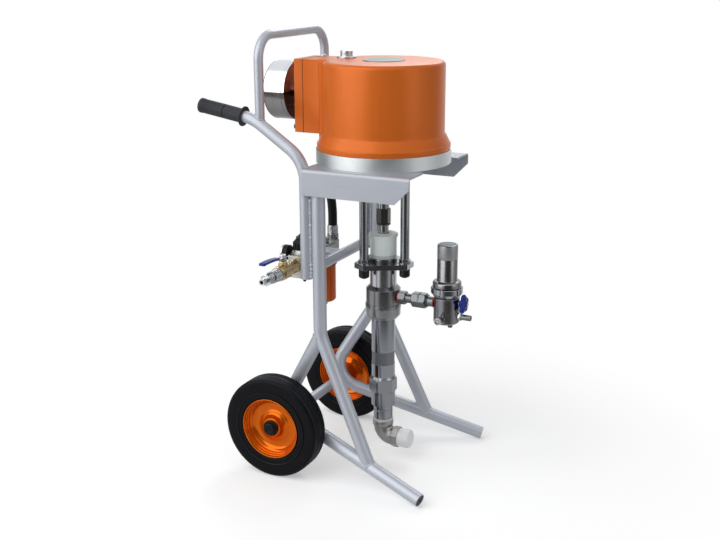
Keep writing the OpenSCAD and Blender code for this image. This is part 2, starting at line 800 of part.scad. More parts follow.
// Two pressed dishes around a hub tube, with a rolled edge on each side
module rim(sign) color(orange) wheel_place(sign) difference() {
    half = rim_w / 2;
    hub_low = hub_in - track_half;
    dish = half - 16;
    union() {
        rotate_extrude($fn = 96) polygon(concat(
            [[hub_d / 2 - 2, -dish + 3], [hub_d / 2 + 6, -dish], [rim_r - 14, -half + 9],
            [rim_r - 11, -half + 6], [rim_r - 10, -half + 2], [rim_r - 7, -half]],
            [[rim_r - 2, -half], [rim_r, -half + 2], [rim_r - 3, -half + 5], [rim_r - 8, -half + 5],
            [rim_r - 8, half - 5], [rim_r - 3, half - 5], [rim_r, half - 2], [rim_r - 2, half]],
            [[rim_r - 7, half], [rim_r - 10, half - 2], [rim_r - 11, half - 6], [rim_r - 14, half - 9],
            [hub_d / 2 + 6, dish], [hub_d / 2 - 2, dish - 3]]));
        translate([0, 0, hub_low]) cylinder(r = hub_d / 2, h = hub_len);
    }
    translate([0, 0, hub_low - 1]) cylinder(r = axle_d / 2 + run_fit, h = hub_len + 2);
}

// ---------- Motor brackets ----------
module bracket_profile() {
    out = leg_x + tube_r + plate_t;
    polygon(concat([[deck_half, deck_z - plate_t], [deck_half, deck_z]],
        arc([out - fold_r, deck_z - fold_r], fold_r, 90, 0, 6),
        [[out, deck_z - web_h], [out - plate_t, deck_z - web_h], [out - plate_t, deck_z - plate_t]]));
}

module motor_brackets() color(paint) for (sign = [-1, 1]) side(sign) difference() {
    translate([0, web_rear, 0]) rotate([90, 0, 0])
        linear_extrude(height = web_front + web_rear) bracket_profile();
    translate([leg_x, -web_front, deck_z - web_h]) rotate([0, 90, 0])
        linear_extrude(height = 2 * tube_d) polygon([[1, -1], [1, web_cut + 1], [-web_cut - 1, -1]]);
    at_bracket_bolts() translate([0, 0, deck_z - plate_t - over])
        cylinder(r = bolt_r + thread_fit, h = plate_t + 2 * over);
    handle_bar(handle_r + weld_gap);
}

module at_bracket_bolts() for (y = [-bolt_y, bolt_y]) translate([bolt_x, y, 0]) children();

// ---------- Air motor ----------
module motor_base() color(bright) difference() {
    translate([0, 0, deck_z]) cylinder(r = base_r, h = base_h, $fn = 128);
    translate([0, 0, deck_z - 1]) cylinder(r = motor_rod_r + 6, h = base_h + 2);
    at_tie_rods() translate([0, 0, deck_z - over]) cylinder(r = stud_r + thread_fit, h = stud_len + 2 * over);
    for (sign = [-1, 1]) side(sign) at_bracket_bolts()
        translate([0, 0, deck_z - over]) cylinder(r = bolt_r + thread_fit, h = bolt_depth + 2 * over);
}

module cover_outline(grow = 0) {
    edge = cover_edge;
    rotate_extrude($fn = 128) polygon(concat([[0, base_top], [band_r + grow, base_top],
        [band_r + grow, base_top + band_h], [cover_r + grow, base_top + band_h + cone_h]],
        arc([cover_r + grow - edge, cover_top + grow - edge], edge, 0, 90, 6), [[0, cover_top + grow]]));
}

module motor_cover() color(orange) difference() {
    cover_outline();
    cover_outline(-cover_wall);
    translate([0, 0, base_top - 1]) cylinder(r = band_r - cover_wall, h = 2);
}

module motor_cylinder() color(steel) translate([0, 0, base_top]) difference() {
    cylinder(r = bore_r + bore_wall, h = head_z + head_h - base_top, $fn = 96);
    translate([0, 0, -1]) cylinder(r = bore_r, h = head_z - base_top + 1, $fn = 96);
}

module valve_box() color(orange) difference() {
    hollow_z = spool_z + spool_r + 8;
    translate([-box_half, box_front, box_bottom])
        cube([2 * box_half, plate_y - box_front, cover_top - box_bottom]);
    cover_outline();
    translate([-box_half + box_wall, cover_r + box_wall, hollow_z])
        cube([2 * (box_half - box_wall), plate_y - cover_r, cover_top - box_wall - hollow_z]);
    along_back(0, plate_y - spool_len - spool_travel - spool_end, spool_z)
        cylinder(r = spool_r + run_fit, h = spool_len + spool_travel + 2 * spool_end);
}

module valve_box_plate() color(orange) difference() {
    translate([-box_half, plate_y, box_bottom]) cube([2 * box_half, end_plate_t, cover_top - box_bottom]);
    along_back(0, plate_y - over, drum_z) cylinder(r = neck_bore_r, h = end_plate_t + 2 * over);
}

module valve_spool() color(steel) along_back(0, plate_y - spool_len - 1, spool_z) difference() {
    cylinder(r = spool_r, h = spool_len);
    for (z = [5, 13]) translate([0, 0, z]) ring(spool_r + 1, spool_r - 4, 4);
}

// Bare disc, filler with its cap and the small screw beside it
module top_fittings() color(bright) translate([0, 0, cover_top]) {
    cylinder(r = disc_r, h = disc_t);
    translate([filler_x, filler_y, 0]) {
        ring_h = 4;
        difference() {
            bevelled(filler_r + 8.5, ring_h, 1);
            for (a = [30:120:270]) rotate(a)
                translate([filler_r + 4.5, 0, ring_h - 1.5]) cylinder(r = 2, h = 3);
        }
        translate([0, 0, ring_h]) bevelled(filler_r, filler_h, 2);
    }
    translate([box_half - 12, plate_y - 8, 0]) hex(7, 5);
}

module muffler() color(bright) along_back(0, plate_y + end_plate_t, drum_z) difference() {
    union() {
        cylinder(r = neck_r, h = neck_len + 1);
        translate([0, 0, neck_len]) drum_solid(drum_r, drum_len, drum_edge);
    }
    translate([0, 0, -over]) cylinder(r = neck_bore_r, h = neck_len + drum_wall + 2 * over);
    translate([0, 0, neck_len + drum_wall])
        drum_solid(drum_r - drum_wall, drum_len - 2 * drum_wall, drum_edge - drum_wall);
    for (i = [0:11]) rotate(i * 30)
        translate([drum_r * 0.42, 0, neck_len + drum_len - 5]) cylinder(r = 3, h = 8);
}

module drum_solid(r, len, edge) rotate_extrude($fn = 128) polygon(concat([[0, 0], [r, 0]],
    arc([r - edge, len - edge], edge, 0, 90, 8), [[0, len]]));

module air_piston() color(steel) translate([0, 0, piston_z]) difference() {
    cylinder(r = bore_r - run_fit, h = piston_h, $fn = 96);
    for (z = [5, piston_h - 9]) translate([0, 0, z]) ring(bore_r + 1, bore_r - 3, 4, $fn = 96);
    translate([0, 0, -1]) cylinder(r = motor_rod_r * 0.7, h = piston_h + 2);
}

module motor_rod() color(steel) {
    shoulder = coupling_z + coupling_h;
    thread = coupling_h * thread_share;
    translate([0, 0, shoulder]) cylinder(r = motor_rod_r, h = piston_z - shoulder);
    translate([0, 0, shoulder - thread]) cylinder(r = coupling_thread_r, h = thread);
    translate([0, 0, piston_z]) cylinder(r = motor_rod_r * 0.7, h = piston_h);
    translate([0, 0, piston_z + piston_h]) hex(motor_rod_r, 7);
}

// Rod bush in the motor base and throat packing in the gland
module rod_seals() color(dark) {
    translate([0, 0, deck_z]) ring(motor_rod_r + 6, motor_rod_r + run_fit, base_h);
    translate([0, 0, packing_z]) ring(packing_r, pump_rod_r + run_fit, packing_h);
}

// ---------- Screws and nuts ----------
module fasteners() color(black) {
    at_tie_rods() translate([0, 0, tie_plate_z - tie_nut_h]) difference() {
        union() {
            cylinder(r1 = tie_nut_r - 1.5, r2 = tie_nut_r, h = 3);
            translate([0, 0, 3]) cylinder(r = tie_nut_r, h = tie_nut_h - 3);
        }
        translate([0, 0, nut_end]) cylinder(r = stud_r + thread_fit, h = tie_nut_h);
    }
    for (sign = [-1, 1]) side(sign) at_bracket_bolts() {
        translate([0, 0, deck_z - plate_t - bolt_head_h]) hex(bolt_head_r, bolt_head_h);
        translate([0, 0, deck_z - plate_t]) cylinder(r = bolt_r, h = plate_t + bolt_depth);
    }
    for (x = [-20, 0, 20]) translate([reg_x + x, unit_y - 14, reg_bottom - 9]) bevel_screw();
}

module bevel_screw() {
    cylinder(r1 = 3, r2 = 4, h = 2);
    translate([0, 0, 2]) cylinder(r = 4, h = 7);
}

// ---------- Tie rods, plate and coupling ----------
module tie_rods() color(steel) at_tie_rods() {
    translate([0, 0, tie_top]) cylinder(r = tie_r, h = deck_z - tie_top);
    translate([0, 0, tie_plate_z - tie_nut_h + nut_end + over])
        cylinder(r = stud_r, h = tie_nut_h - nut_end - over + tie_plate_t);
    translate([0, 0, deck_z]) cylinder(r = stud_r, h = stud_len);
}

module tie_plate() color(steel) translate([0, 0, tie_plate_z]) difference() {
    linear_extrude(height = tie_plate_t) polygon([for (i = [0:tie_count - 1], s = [-1, 1])
        let (a = -90 + i * 360 / tie_count, r = norm([tie_plate_reach, tie_plate_side / 2]),
            b = a + s * atan2(tie_plate_side / 2, tie_plate_reach)) r * [cos(b), sin(b)]]);
    translate([0, 0, -1]) cylinder(r = spigot_r + thread_fit, h = tie_plate_t + 2);
    at_tie_rods() translate([0, 0, -1]) cylinder(r = stud_r + thread_fit, h = tie_plate_t + 2);
}

module coupling_nut() color(dark) translate([0, 0, coupling_z]) difference() {
    hex(coupling_r, coupling_h, 2);
    translate([0, 0, -1]) cylinder(r = coupling_thread_r + thread_fit, h = coupling_h + 2);
}

// ---------- Solvent cup and gland ----------
module wet_cup() color(white) translate([0, 0, cup_z]) difference() {
    cylinder(r = cup_r, h = cup_h);
    translate([0, 0, 4]) cylinder(r = cup_r - cup_wall, h = cup_h);
    translate([0, 0, -1]) cylinder(r = pump_rod_r + free_gap, h = 6);
}

module wet_cup_lid() color(white) translate([0, 0, lid_z]) difference() {
    bevelled(lid_r, lid_h, 2);
    translate([0, 0, -1]) cylinder(r = pump_rod_r + free_gap, h = lid_h + 2);
}

module gland_nut() color(dark) translate([0, 0, tie_top]) ring(gland_nut_r, spigot_r + thread_fit, gland_nut_h);

module gland_body() color(steel) translate([0, 0, gland_z]) difference() {
    union() {
        cylinder(r = gland_r, h = gland_h);
        cylinder(r = spigot_r, h = cup_z - gland_z);
    }
    translate([0, 0, -1]) cylinder(r = pump_rod_r + run_fit, h = cup_z - gland_z + 2);
    translate([0, 0, packing_z - gland_z]) cylinder(r = packing_r, h = packing_h);
    for (i = [0:3]) rotate(i * 90 - 17) along_x(gland_r - 7, 0, gland_h - 13) cylinder(r = 3, h = 8);
}

// ---------- Pump ----------
module outlet_body() color(steel) difference() {
    translate([0, 0, outlet_z]) bevelled(outlet_r, outlet_h, outlet_bevel);
    translate([0, 0, outlet_z - 1]) cylinder(r = pump_bore_r, h = outlet_h + 2);
    along_front(0, pump_bore_r - 4, line_z) cylinder(r = pipe_bore_r, h = outlet_r);
    along_front(0, outlet_r - socket_depth - over, line_z)
        cylinder(r = pipe_r - spigot_step + thread_fit, h = socket_depth + 4);
}

module union_nut() color(steel) translate([0, 0, outlet_z - union_h]) difference() {
    foot = 9;
    band = 8;
    union() {
        cylinder(r1 = union_r - foot, r2 = union_r - 2, h = foot);
        translate([0, 0, foot]) cylinder(r1 = union_r - 2, r2 = union_r - 1, h = union_h - foot - band);
        translate([0, 0, union_h - band]) cylinder(r = union_r, h = band);
    }
    translate([0, 0, -over]) cylinder(r = cyl_r + thread_fit, h = union_h + 2 * over);
    for (i = [0:7]) rotate(i * 45 + 22) translate([union_r - 2, -4, union_h - band - 1]) cube([6, 8, 12]);
}

module pump_cylinder() color(steel) translate([0, 0, cyl_foot]) difference() {
    union() {
        cylinder(r = cyl_r, h = cyl_foot_len);
        translate([0, 0, cyl_foot_len]) cylinder(r = cyl_r - cyl_waist_cut, h = cyl_waist_len);
        translate([0, 0, cyl_foot_len + cyl_waist_len])
            cylinder(r = cyl_r, h = cyl_len - cyl_foot_len - cyl_waist_len);
    }
    translate([0, 0, -1]) cylinder(r = pump_bore_r, h = cyl_len + 2);
}

module foot_valve_body() color(steel) difference() {
    union() {
        translate([0, 0, foot_z]) cylinder(r = foot_collar_r, h = foot_collar_h + 4);
        translate([0, 0, foot_hex_z]) hex(foot_hex_r, foot_hex_h, 3);
        translate([0, 0, foot_hex_z + foot_hex_h])
            cylinder(r1 = foot_hex_r - 3, r2 = cyl_r, h = foot_shoulder_h);
    }
    translate([0, 0, foot_z - 1]) cylinder(r = foot_seat_r, h = 30);
    difference() {
        translate([0, 0, foot_seat_z]) cylinder(r = foot_ball_r + 2.5, h = cyl_foot - foot_seat_z + 1);
        along_x(-foot_ball_r - 4, 0, foot_ball_z + foot_ball_r + foot_ball_lift + free_gap + 3)
            cylinder(r = 3, h = 2 * foot_ball_r + 8);
    }
}

module foot_ball() color(bright) translate([0, 0, foot_ball_z]) sphere(r = foot_ball_r);

module pump_rod() color(steel) difference() {
    neck_z = pump_piston_z + pump_piston_h;
    union() {
        translate([0, 0, pump_piston_z]) cylinder(r = pump_bore_r - run_fit, h = pump_piston_h);
        translate([0, 0, neck_z]) cylinder(r = pump_rod_r, h = coupling_z - neck_z);
        translate([0, 0, coupling_z]) cylinder(r = coupling_thread_r, h = coupling_h * thread_share);
    }
    translate([0, 0, pump_piston_z - 1]) cylinder(r = cage_seat_r, h = 12);
    translate([0, 0, cage_z]) cylinder(r = piston_ball_r + 1.5, h = cage_top - cage_z);
    translate([0, 0, cage_top - over]) cylinder(r = piston_ball_r - 3, h = neck_z + 14 - cage_top);
    along_x(-pump_rod_r - over, 0, neck_z + 10) cylinder(r = 4, h = 2 * pump_rod_r + 2 * over);
}

module piston_ball() color(bright) translate([0, 0, piston_ball_z]) sphere(r = piston_ball_r);

// Cast bend between two straight ends; the bend stands in by bend_step from both
module elbow_run(r, top, tip, bend_step) {
    lap = 1.5;
    translate([0, 0, elbow_z + elbow_bend - lap]) cylinder(r = r, h = top - elbow_z - elbow_bend + lap);
    knee([0, 0, foot_z], [0, 0, elbow_z], [0, -elbow_reach, elbow_z], elbow_bend, r - bend_step);
    along_front(0, elbow_bend - lap, elbow_z) cylinder(r = r, h = tip - elbow_bend + lap);
}

module suction_elbow() color(steel) difference() {
    union() {
        elbow_run(elbow_r, foot_z, elbow_reach - elbow_collar_w / 2, 0.4);
        along_front(0, elbow_reach - elbow_collar_w, elbow_z)
            rotate(22.5) cylinder(r = elbow_r + 3, h = elbow_collar_w, $fn = 8);
        along_front(0, elbow_reach, elbow_z) cylinder(r = elbow_r - spigot_step, h = elbow_thread);
    }
    elbow_run(elbow_r - elbow_wall, foot_z + over, elbow_tip + over, 0.4);
    translate([0, 0, foot_z - 13]) ring(elbow_r + 1, elbow_r - 1.5, 4);
}

module suction_cap() color(white) along_front(0, elbow_reach, elbow_z) difference() {
    bevelled(elbow_r - spigot_step + suction_cap_wall + free_gap, elbow_thread + 3, 3);
    translate([0, 0, -over]) cylinder(r = elbow_r - spigot_step, h = elbow_thread + over);
}

// ---------- Outlet line and filter ----------
// Stub with its hexagon, screwed into the filter body
module stub(hex_r, hex_w, length) difference() {
    union() {
        translate([0, 0, filter_r - 6]) cylinder(r = stub_r - 1, h = 8);
        translate([0, 0, filter_r + 0.5]) hex(hex_r, hex_w);
        translate([0, 0, filter_r + hex_w]) cylinder(r = stub_r, h = length - hex_w);
    }
    cylinder(r = stub_bore_r, h = filter_r + length + over);
}

module outlet_fittings() color(steel) {
    along_front(0, 0, line_z) difference() {
        union() {
            translate([0, 0, outlet_r - socket_depth]) cylinder(r = pipe_r - spigot_step, h = socket_depth + 6);
            translate([0, 0, outlet_r + 1]) cylinder(r = pipe_r, h = hex_b_y - outlet_r - 1);
            translate([0, 0, hex_a_y]) hex(hex_a_r, hex_a_w, 2);
        }
        translate([0, 0, outlet_r - socket_depth - over])
            cylinder(r = pipe_bore_r, h = hex_b_y - outlet_r + socket_depth + 2 * over);
    }
    along_front(0, hex_b_y, line_z) difference() {
        hex(hex_b_r, hex_b_w, 3);
        translate([0, 0, -over]) cylinder(r = pipe_bore_r, h = hex_b_w + 2 * over);
    }
    along_front(0, hex_b_y + hex_b_w, line_z) difference() {
        run = filter_face - hex_b_y - hex_b_w;
        union() {
            cylinder(r = pipe_r + 1, h = run - 1);
            cylinder(r = pipe_r - spigot_step, h = run + socket_depth);
        }
        translate([0, 0, -over]) cylinder(r = pipe_bore_r, h = run + socket_depth + 2 * over);
    }
    side(-1) along_x(0, -filter_reach, filter_z + stub_rise) stub(stub_r + 3.5, 9, hose_stub_len);
    along_front(0, filter_reach, filter_z + stub_rise) stub(stub_r + 2, 8, bleed_stub_len);
    translate([0, -filter_reach - 10, filter_z - 12]) hex(6, 12, 1);
}

module filter_body() color(steel) translate([0, -filter_reach, 0]) difference() {
    edge = 4;
    union() {
        translate([0, 0, filter_z]) cylinder(r1 = filter_r - edge, r2 = filter_r, h = edge);
        translate([0, 0, filter_z + edge]) bevelled(filter_r, filter_h - edge, edge);
        translate([0, 0, filter_top]) cylinder(r = filter_r - edge, h = flange_z - filter_top);
    }
    translate([0, 0, filter_z + filter_floor]) cylinder(r = filter_bore, h = flange_z - filter_z);
    translate([0, filter_reach, 0]) {
        along_front(0, filter_face - over, line_z)
            cylinder(r = pipe_r - spigot_step + thread_fit, h = socket_depth + 3);
        side(-1) along_x(filter_r - 12, -filter_reach, filter_z + stub_rise)
            cylinder(r = stub_r - 1 + thread_fit, h = 20);
        along_front(0, filter_reach + filter_r - 12, filter_z + stub_rise)
            cylinder(r = stub_r - 1 + thread_fit, h = 20);
        along_front(0, filter_reach + filter_r - 12, filter_z + bleed_rise)
            cylinder(r = stem_r + run_fit, h = 20);
    }
}

module filter_ring_nut() color(steel) translate([0, -filter_reach, nut_z]) difference() {
    union() {
        cylinder(r1 = ring_nut_r - 6, r2 = ring_nut_r, h = 8);
        translate([0, 0, 8]) cylinder(r = ring_nut_r, h = ring_nut_h - 8 - 1);
        translate([0, 0, ring_nut_h - 1]) cylinder(r1 = ring_nut_r, r2 = ring_nut_r - 1, h = 1);
    }
    translate([0, 0, -over]) cylinder(r = filter_r - 4 + thread_fit, h = ring_nut_h);
    translate([0, 0, ring_nut_h - flange_seat])
        cylinder(r = tube_flange_r + thread_fit, h = flange_seat + over);
    for (i = [0:5]) rotate(i * 60) translate([ring_nut_r - 2.5, -3, 2]) cube([6, 6, ring_nut_h]);
}

module filter_tube() color(steel) translate([0, -filter_reach, flange_z]) difference() {
    bevel = 5;
    plug = 8;
    top = tube_flange_h + filter_tube_h;
    union() {
        cylinder(r = tube_flange_r, h = tube_flange_h - bevel);
        translate([0, 0, tube_flange_h - bevel])
            cylinder(r1 = tube_flange_r, r2 = tube_flange_r - bevel / 2, h = bevel);
        cylinder(r = filter_tube_r, h = top);
        translate([0, 0, -plug]) cylinder(r = filter_bore - thread_fit, h = plug + over);
    }
    translate([0, 0, -plug - over]) cylinder(r = filter_tube_r - filter_wall, h = top + plug + over - 14);
    translate([0, 0, top - 4]) cylinder(r = filter_tube_r - 2.5, h = 5);
    translate([0, 0, tube_flange_h * 0.45]) ring(tube_flange_r + 1, tube_flange_r - 1.5, 2);
}

module filter_element() color(bright) translate([0, -filter_reach, filter_z + filter_floor])
    ring(element_r, element_r - 4, flange_z + tube_flange_h + filter_tube_h - 14 - filter_z - filter_floor);

module bleed_handle() color(blue) along_front(0, filter_reach + filter_r, filter_z + bleed_rise) {
    translate([0, 0, -stem_depth]) cylinder(r = stem_r, h = stem_depth + 12);
    difference() {
        translate([0, 0, free_gap]) cylinder(r = stem_r + 2, h = 6);
        translate([0, 0, -1]) cylinder(r = stem_r - 1, h = 1);
    }
    hull() {
        translate([0, 0, 6]) cylinder(r = boss_r, h = 12, $fn = 32);
        translate([0, 0, 6]) cylinder(r = 5, h = 22, $fn = 32);
    }
    for (s = [-1, 1]) hull() {
        translate([0, 0, 6]) cylinder(r = boss_r - 2, h = 10, $fn = 32);
        translate([0, s * (wing_len / 2 - wing_w / 4), 6]) cylinder(r = wing_w / 4, h = 12, $fn = 32);
    }
}

// ---------- Air unit ----------
module air_inlet_nipple() color(bright) along_x(nose_tip, unit_y, unit_z) difference() {
    collar = 15.5;
    union() {
        cylinder(r = nose_r, h = nose_len + 1);
        translate([0, 0, nose_len]) hex(15, 22, 2);
        translate([0, 0, nose_len + 21]) cylinder(r = 11, h = 5);
        translate([0, 0, nose_len + 25]) bevelled(collar, inlet_len - nose_len - 25, 2);
    }
    translate([0, 0, -1]) cylinder(r = 4.5, h = inlet_len + 2);
}

module air_valve_body() color(brass) {
    difference() {
        union() {
            along_x(inlet_x, unit_y, unit_z) hex(valve_hex_r, 22, 2);
            along_x(inlet_x + 20, unit_y, unit_z) cylinder(r = valve_hex_r - 3, h = valve_len - 40);
            translate([lever_x, unit_y, unit_z]) cylinder(r = 9, h = lever_rise - 8);
            along_x(lever_x - 16, unit_y, unit_z) cylinder(r = valve_hex_r - 0.5, h = 32);
            along_x(valve_x - 24, unit_y, unit_z) hex(valve_hex_r - 1, 24, 2);
        }
        along_x(inlet_x - 1, unit_y, unit_z) cylinder(r = valve_bore_r, h = valve_len + 2);
        translate([lever_x, unit_y, unit_z]) sphere(r = valve_ball_r + run_fit);
        translate([lever_x, unit_y, unit_z]) cylinder(r = stem_r + run_fit, h = lever_rise);
    }
}

// Ball, stem, nut and the dipped lever turn as one
module air_valve_lever() color(blue) translate([lever_x, unit_y, unit_z]) {
    plate = 3;
    difference() {
        sphere(r = valve_ball_r);
        rotate([0, 90, 0]) translate([0, 0, -20]) cylinder(r = valve_bore_r, h = 40);
    }
    difference() {
        cylinder(r = stem_r, h = lever_rise);
        sphere(r = valve_ball_r - 1);
    }
    translate([0, 0, lever_rise - 7]) hex(8.5, 6, 1);
    translate([0, 0, lever_rise]) hex(8, 6, 1);
    translate([0, 0, lever_rise - 1.5]) difference() {
        hull() {
            cylinder(r = lever_w / 2, h = plate, $fn = 32);
            translate([-lever_len * 0.3, 0, 3]) cylinder(r = lever_w / 2 - 1, h = plate, $fn = 32);
        }
        translate([0, 0, -1]) cylinder(r = stem_r - 0.5, h = 2);
    }
    translate([0, 0, lever_rise - 3]) hull() {
        translate([-lever_len * 0.32, 0, 3]) cylinder(r = lever_w / 2, h = 6, $fn = 32);
        translate([-lever_len + lever_w / 2, 0, 5]) cylinder(r = lever_w / 2 + 0.5, h = 6, $fn = 32);
    }
}

module regulator_body() color(bright) difference() {
    neck_z = reg_top - reg_neck;
    union() {
        translate([reg_x - reg_w / 2, unit_y - reg_d / 2, reg_bottom]) cube([reg_w, reg_d, reg_h - reg_neck]);
        translate([reg_x, unit_y, neck_z]) cylinder(r1 = reg_d / 2, r2 = reg_d / 2 - 3, h = reg_neck);
        along_x(reg_x + reg_w / 2 - 1, unit_y, unit_z)
            cylinder(r = 16, h = lub_x - lub_w / 2 - reg_x - reg_w / 2 + 1);
    }
    along_x(valve_x - over, unit_y, unit_z)
        cylinder(r = valve_bore_r, h = lub_x - lub_w / 2 - valve_x + 2 * over);
    translate([reg_x, unit_y, neck_z]) cylinder(r = stem_r + run_fit, h = reg_neck + over);
    along_back(reg_x, unit_y + reg_d / 2 - 8, unit_z + gauge_rise)
        cylinder(r = gauge_stem_r + thread_fit, h = 8 + over);
}

module regulator_knob() color(black) translate([reg_x, unit_y, reg_top + free_gap]) {
    translate([0, 0, -8]) cylinder(r = stem_r, h = 9);
    difference() {
        union() {
            cylinder(r = knob_r, h = knob_h * 0.55);
            translate([0, 0, knob_h * 0.55]) cylinder(r1 = knob_r, r2 = knob_r - 7, h = knob_h * 0.25);
            translate([0, 0, knob_h * 0.8]) cylinder(r = knob_r - 8, h = knob_h * 0.2);
            translate([0, 0, knob_h]) bevelled(knob_r - 14, 8, 4);
        }
        for (i = [0:19]) rotate(i * 18) translate([knob_r + 0.6, 0, -over])
            cylinder(r = 1.8, h = knob_h * 0.55 + 2 * over);
    }
}

module pressure_gauge() color(black) along_back(reg_x, gauge_y, unit_z + gauge_rise) {
    translate([0, 0, -gauge_neck]) hex(8, gauge_neck, 1);
    translate([0, 0, -gauge_neck - 7]) cylinder(r = gauge_stem_r, h = 8);
    difference() {
        union() {
            cylinder(r1 = gauge_r - 3, r2 = gauge_r, h = 3);
            translate([0, 0, 3]) cylinder(r = gauge_r, h = gauge_d - 3);
        }
        translate([0, 0, gauge_d - gauge_dial]) cylinder(r = gauge_r - 2.5, h = gauge_dial + over);
        translate([0, 0, gauge_d - 12]) cylinder(r = needle_r + run_fit, h = 10);
    }
}

// The needle rests at the foot of its scale
module gauge_needle() color("red") along_back(reg_x, gauge_y + gauge_d - gauge_dial, unit_z + gauge_rise) {
    translate([0, 0, -6]) cylinder(r = needle_r, h = 8.5);
    translate([0, 0, 1]) cylinder(r = 2.4, h = 1.2);
    rotate(needle_rest) translate([-4, -0.7, 1]) cube([gauge_r - 2.5, 1.4, 0.8]);
}

module lubricator_head() color(dark) difference() {
    union() {
        translate([lub_x - lub_w / 2, unit_y - reg_d / 2, lub_bottom]) cube([lub_w, reg_d, lub_h]);
        translate([lub_x, unit_y, lub_bottom + lub_h]) bevelled(11, 9, 2);
        along_x(lub_x + lub_w / 2 - 1, unit_y, unit_z)
            cylinder(r = elbow_tube_r, h = hose_foot_x - lub_x - lub_w / 2 + 1);
        translate([hose_foot_x, unit_y, unit_z]) sphere(r = elbow_tube_r);
        translate([hose_foot_x, unit_y, unit_z]) cylinder(r = elbow_tube_r, h = elbow_top - unit_z);
    }
    along_x(lub_x - lub_w / 2 - over, unit_y, unit_z)
        cylinder(r = valve_bore_r, h = hose_foot_x - lub_x + lub_w / 2 + over);
    translate([hose_foot_x, unit_y, unit_z]) cylinder(r = valve_bore_r, h = elbow_top - unit_z + over);
    translate([lub_x, unit_y, lub_bottom - 1]) cylinder(r = bowl_r - bowl_wall - 2, h = 9);
}

module lubricator_bowl() color(orange) translate([lub_x, unit_y, lub_bottom - bowl_h]) difference() {
    bowl_solid(bowl_r, bowl_h);
    translate([0, 0, bowl_wall]) bowl_solid(bowl_r - bowl_wall, bowl_h);
}

module bowl_solid(r, h) rotate_extrude() polygon(concat(
    [[0, 0]], [for (i = [1:8]) [r * sin(90 * i / 8), r * 0.45 * (1 - cos(90 * i / 8))]], [[r, h], [0, h]]));

// ---------- Air hose ----------
module air_hose() color(black)
    pipe(hose_points, [0, hose_bend_r, hose_bend_r, 0], hose_r, hose_r - hose_bore_r);

module hose_fittings() color(bright)
    for (end = [[hose_foot_x, elbow_top, 1], [hose_top_x, box_bottom, -1]])
        translate([end[0], unit_y, end[1]]) mirror([0, 0, end[2] < 0 ? 1 : 0]) difference() {
            union() {
                hex(hose_hex_r, 16, 2);
                translate([0, 0, 15]) cylinder(r = hose_r + 1.5, h = hose_fitting - 15);
            }
            translate([0, 0, -1]) cylinder(r = hose_bore_r, h = hose_fitting + 2);
        }

in_frame() legs();
in_frame() skid(-1);  // right_skid
in_frame() skid(1);  // left_skid
in_frame() handles();
in_frame() lifting_hoop();
in_frame() cross_tubes();
in_frame() skid_plugs();
in_frame() grips();
in_frame() motor_brackets();
in_frame() axle();
in_frame() axle_caps();
in_frame() tyre(-1);  // right_tyre
in_frame() tyre(1);  // left_tyre
in_frame() rim(-1);  // right_rim
in_frame() rim(1);  // left_rim
in_frame() motor_base();
in_frame() motor_cover();
in_frame() motor_cylinder();
in_frame() valve_box();
in_frame() valve_box_plate();
in_frame() top_fittings();
in_frame() muffler();
in_frame() air_piston();
in_frame() motor_rod();
in_frame() valve_spool();
in_frame() rod_seals();
in_frame() fasteners();
in_frame() tie_rods();
in_frame() tie_plate();
in_frame() coupling_nut();
in_frame() wet_cup();
in_frame() wet_cup_lid();
in_frame() gland_body();
in_frame() gland_nut();
in_frame() outlet_body();
in_frame() union_nut();
in_frame() pump_cylinder();
in_frame() foot_valve_body();
in_frame() foot_ball();
in_frame() pump_rod();
in_frame() piston_ball();
in_frame() suction_elbow();
in_frame() suction_cap();
in_frame() outlet_fittings();
in_frame() filter_body();
in_frame() filter_ring_nut();
in_frame() filter_tube();
in_frame() filter_element();
in_frame() bleed_handle();
in_frame() air_inlet_nipple();
in_frame() air_valve_body();
in_frame() air_valve_lever();
in_frame() regulator_body();
in_frame() regulator_knob();
in_frame() pressure_gauge();
in_frame() gauge_needle();
in_frame() lubricator_head();
in_frame() lubricator_bowl();
in_frame() air_hose();
in_frame() hose_fittings();
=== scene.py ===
"""Dresses the paint sprayer: finishes for every part, finer pieces, a plain stage and a camera."""

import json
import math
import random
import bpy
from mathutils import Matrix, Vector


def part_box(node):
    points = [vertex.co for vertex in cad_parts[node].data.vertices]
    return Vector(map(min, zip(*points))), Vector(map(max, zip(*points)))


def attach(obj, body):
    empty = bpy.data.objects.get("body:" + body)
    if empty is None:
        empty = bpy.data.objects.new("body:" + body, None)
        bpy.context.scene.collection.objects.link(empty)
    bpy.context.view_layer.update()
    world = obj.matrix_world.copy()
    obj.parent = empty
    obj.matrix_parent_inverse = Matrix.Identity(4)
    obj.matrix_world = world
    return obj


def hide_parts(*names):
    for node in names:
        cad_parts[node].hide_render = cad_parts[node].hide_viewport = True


bl_info = {
    "name": "Cart paint sprayer",
    "version": (1, 0, 0),
    "blender": (4, 5, 0),
    "location": "3D View > Sidebar > Sprayer",
    "description": "Builds the looks of an air-driven airless paint sprayer on its cart",
    "category": "Object",
}

import bmesh
import bpy
from mathutils import Matrix, Vector

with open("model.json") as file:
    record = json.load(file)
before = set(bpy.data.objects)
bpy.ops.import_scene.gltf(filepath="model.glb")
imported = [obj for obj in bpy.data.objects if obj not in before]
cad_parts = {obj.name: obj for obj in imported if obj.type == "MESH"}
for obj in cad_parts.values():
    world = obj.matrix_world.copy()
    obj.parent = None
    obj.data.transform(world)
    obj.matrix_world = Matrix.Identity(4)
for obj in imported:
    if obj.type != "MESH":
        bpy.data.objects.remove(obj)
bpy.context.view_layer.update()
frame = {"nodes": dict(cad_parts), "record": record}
MM = 0.001
X, Y, Z = Vector((1, 0, 0)), Vector((0, 1, 0)), Vector((0, 0, 1))


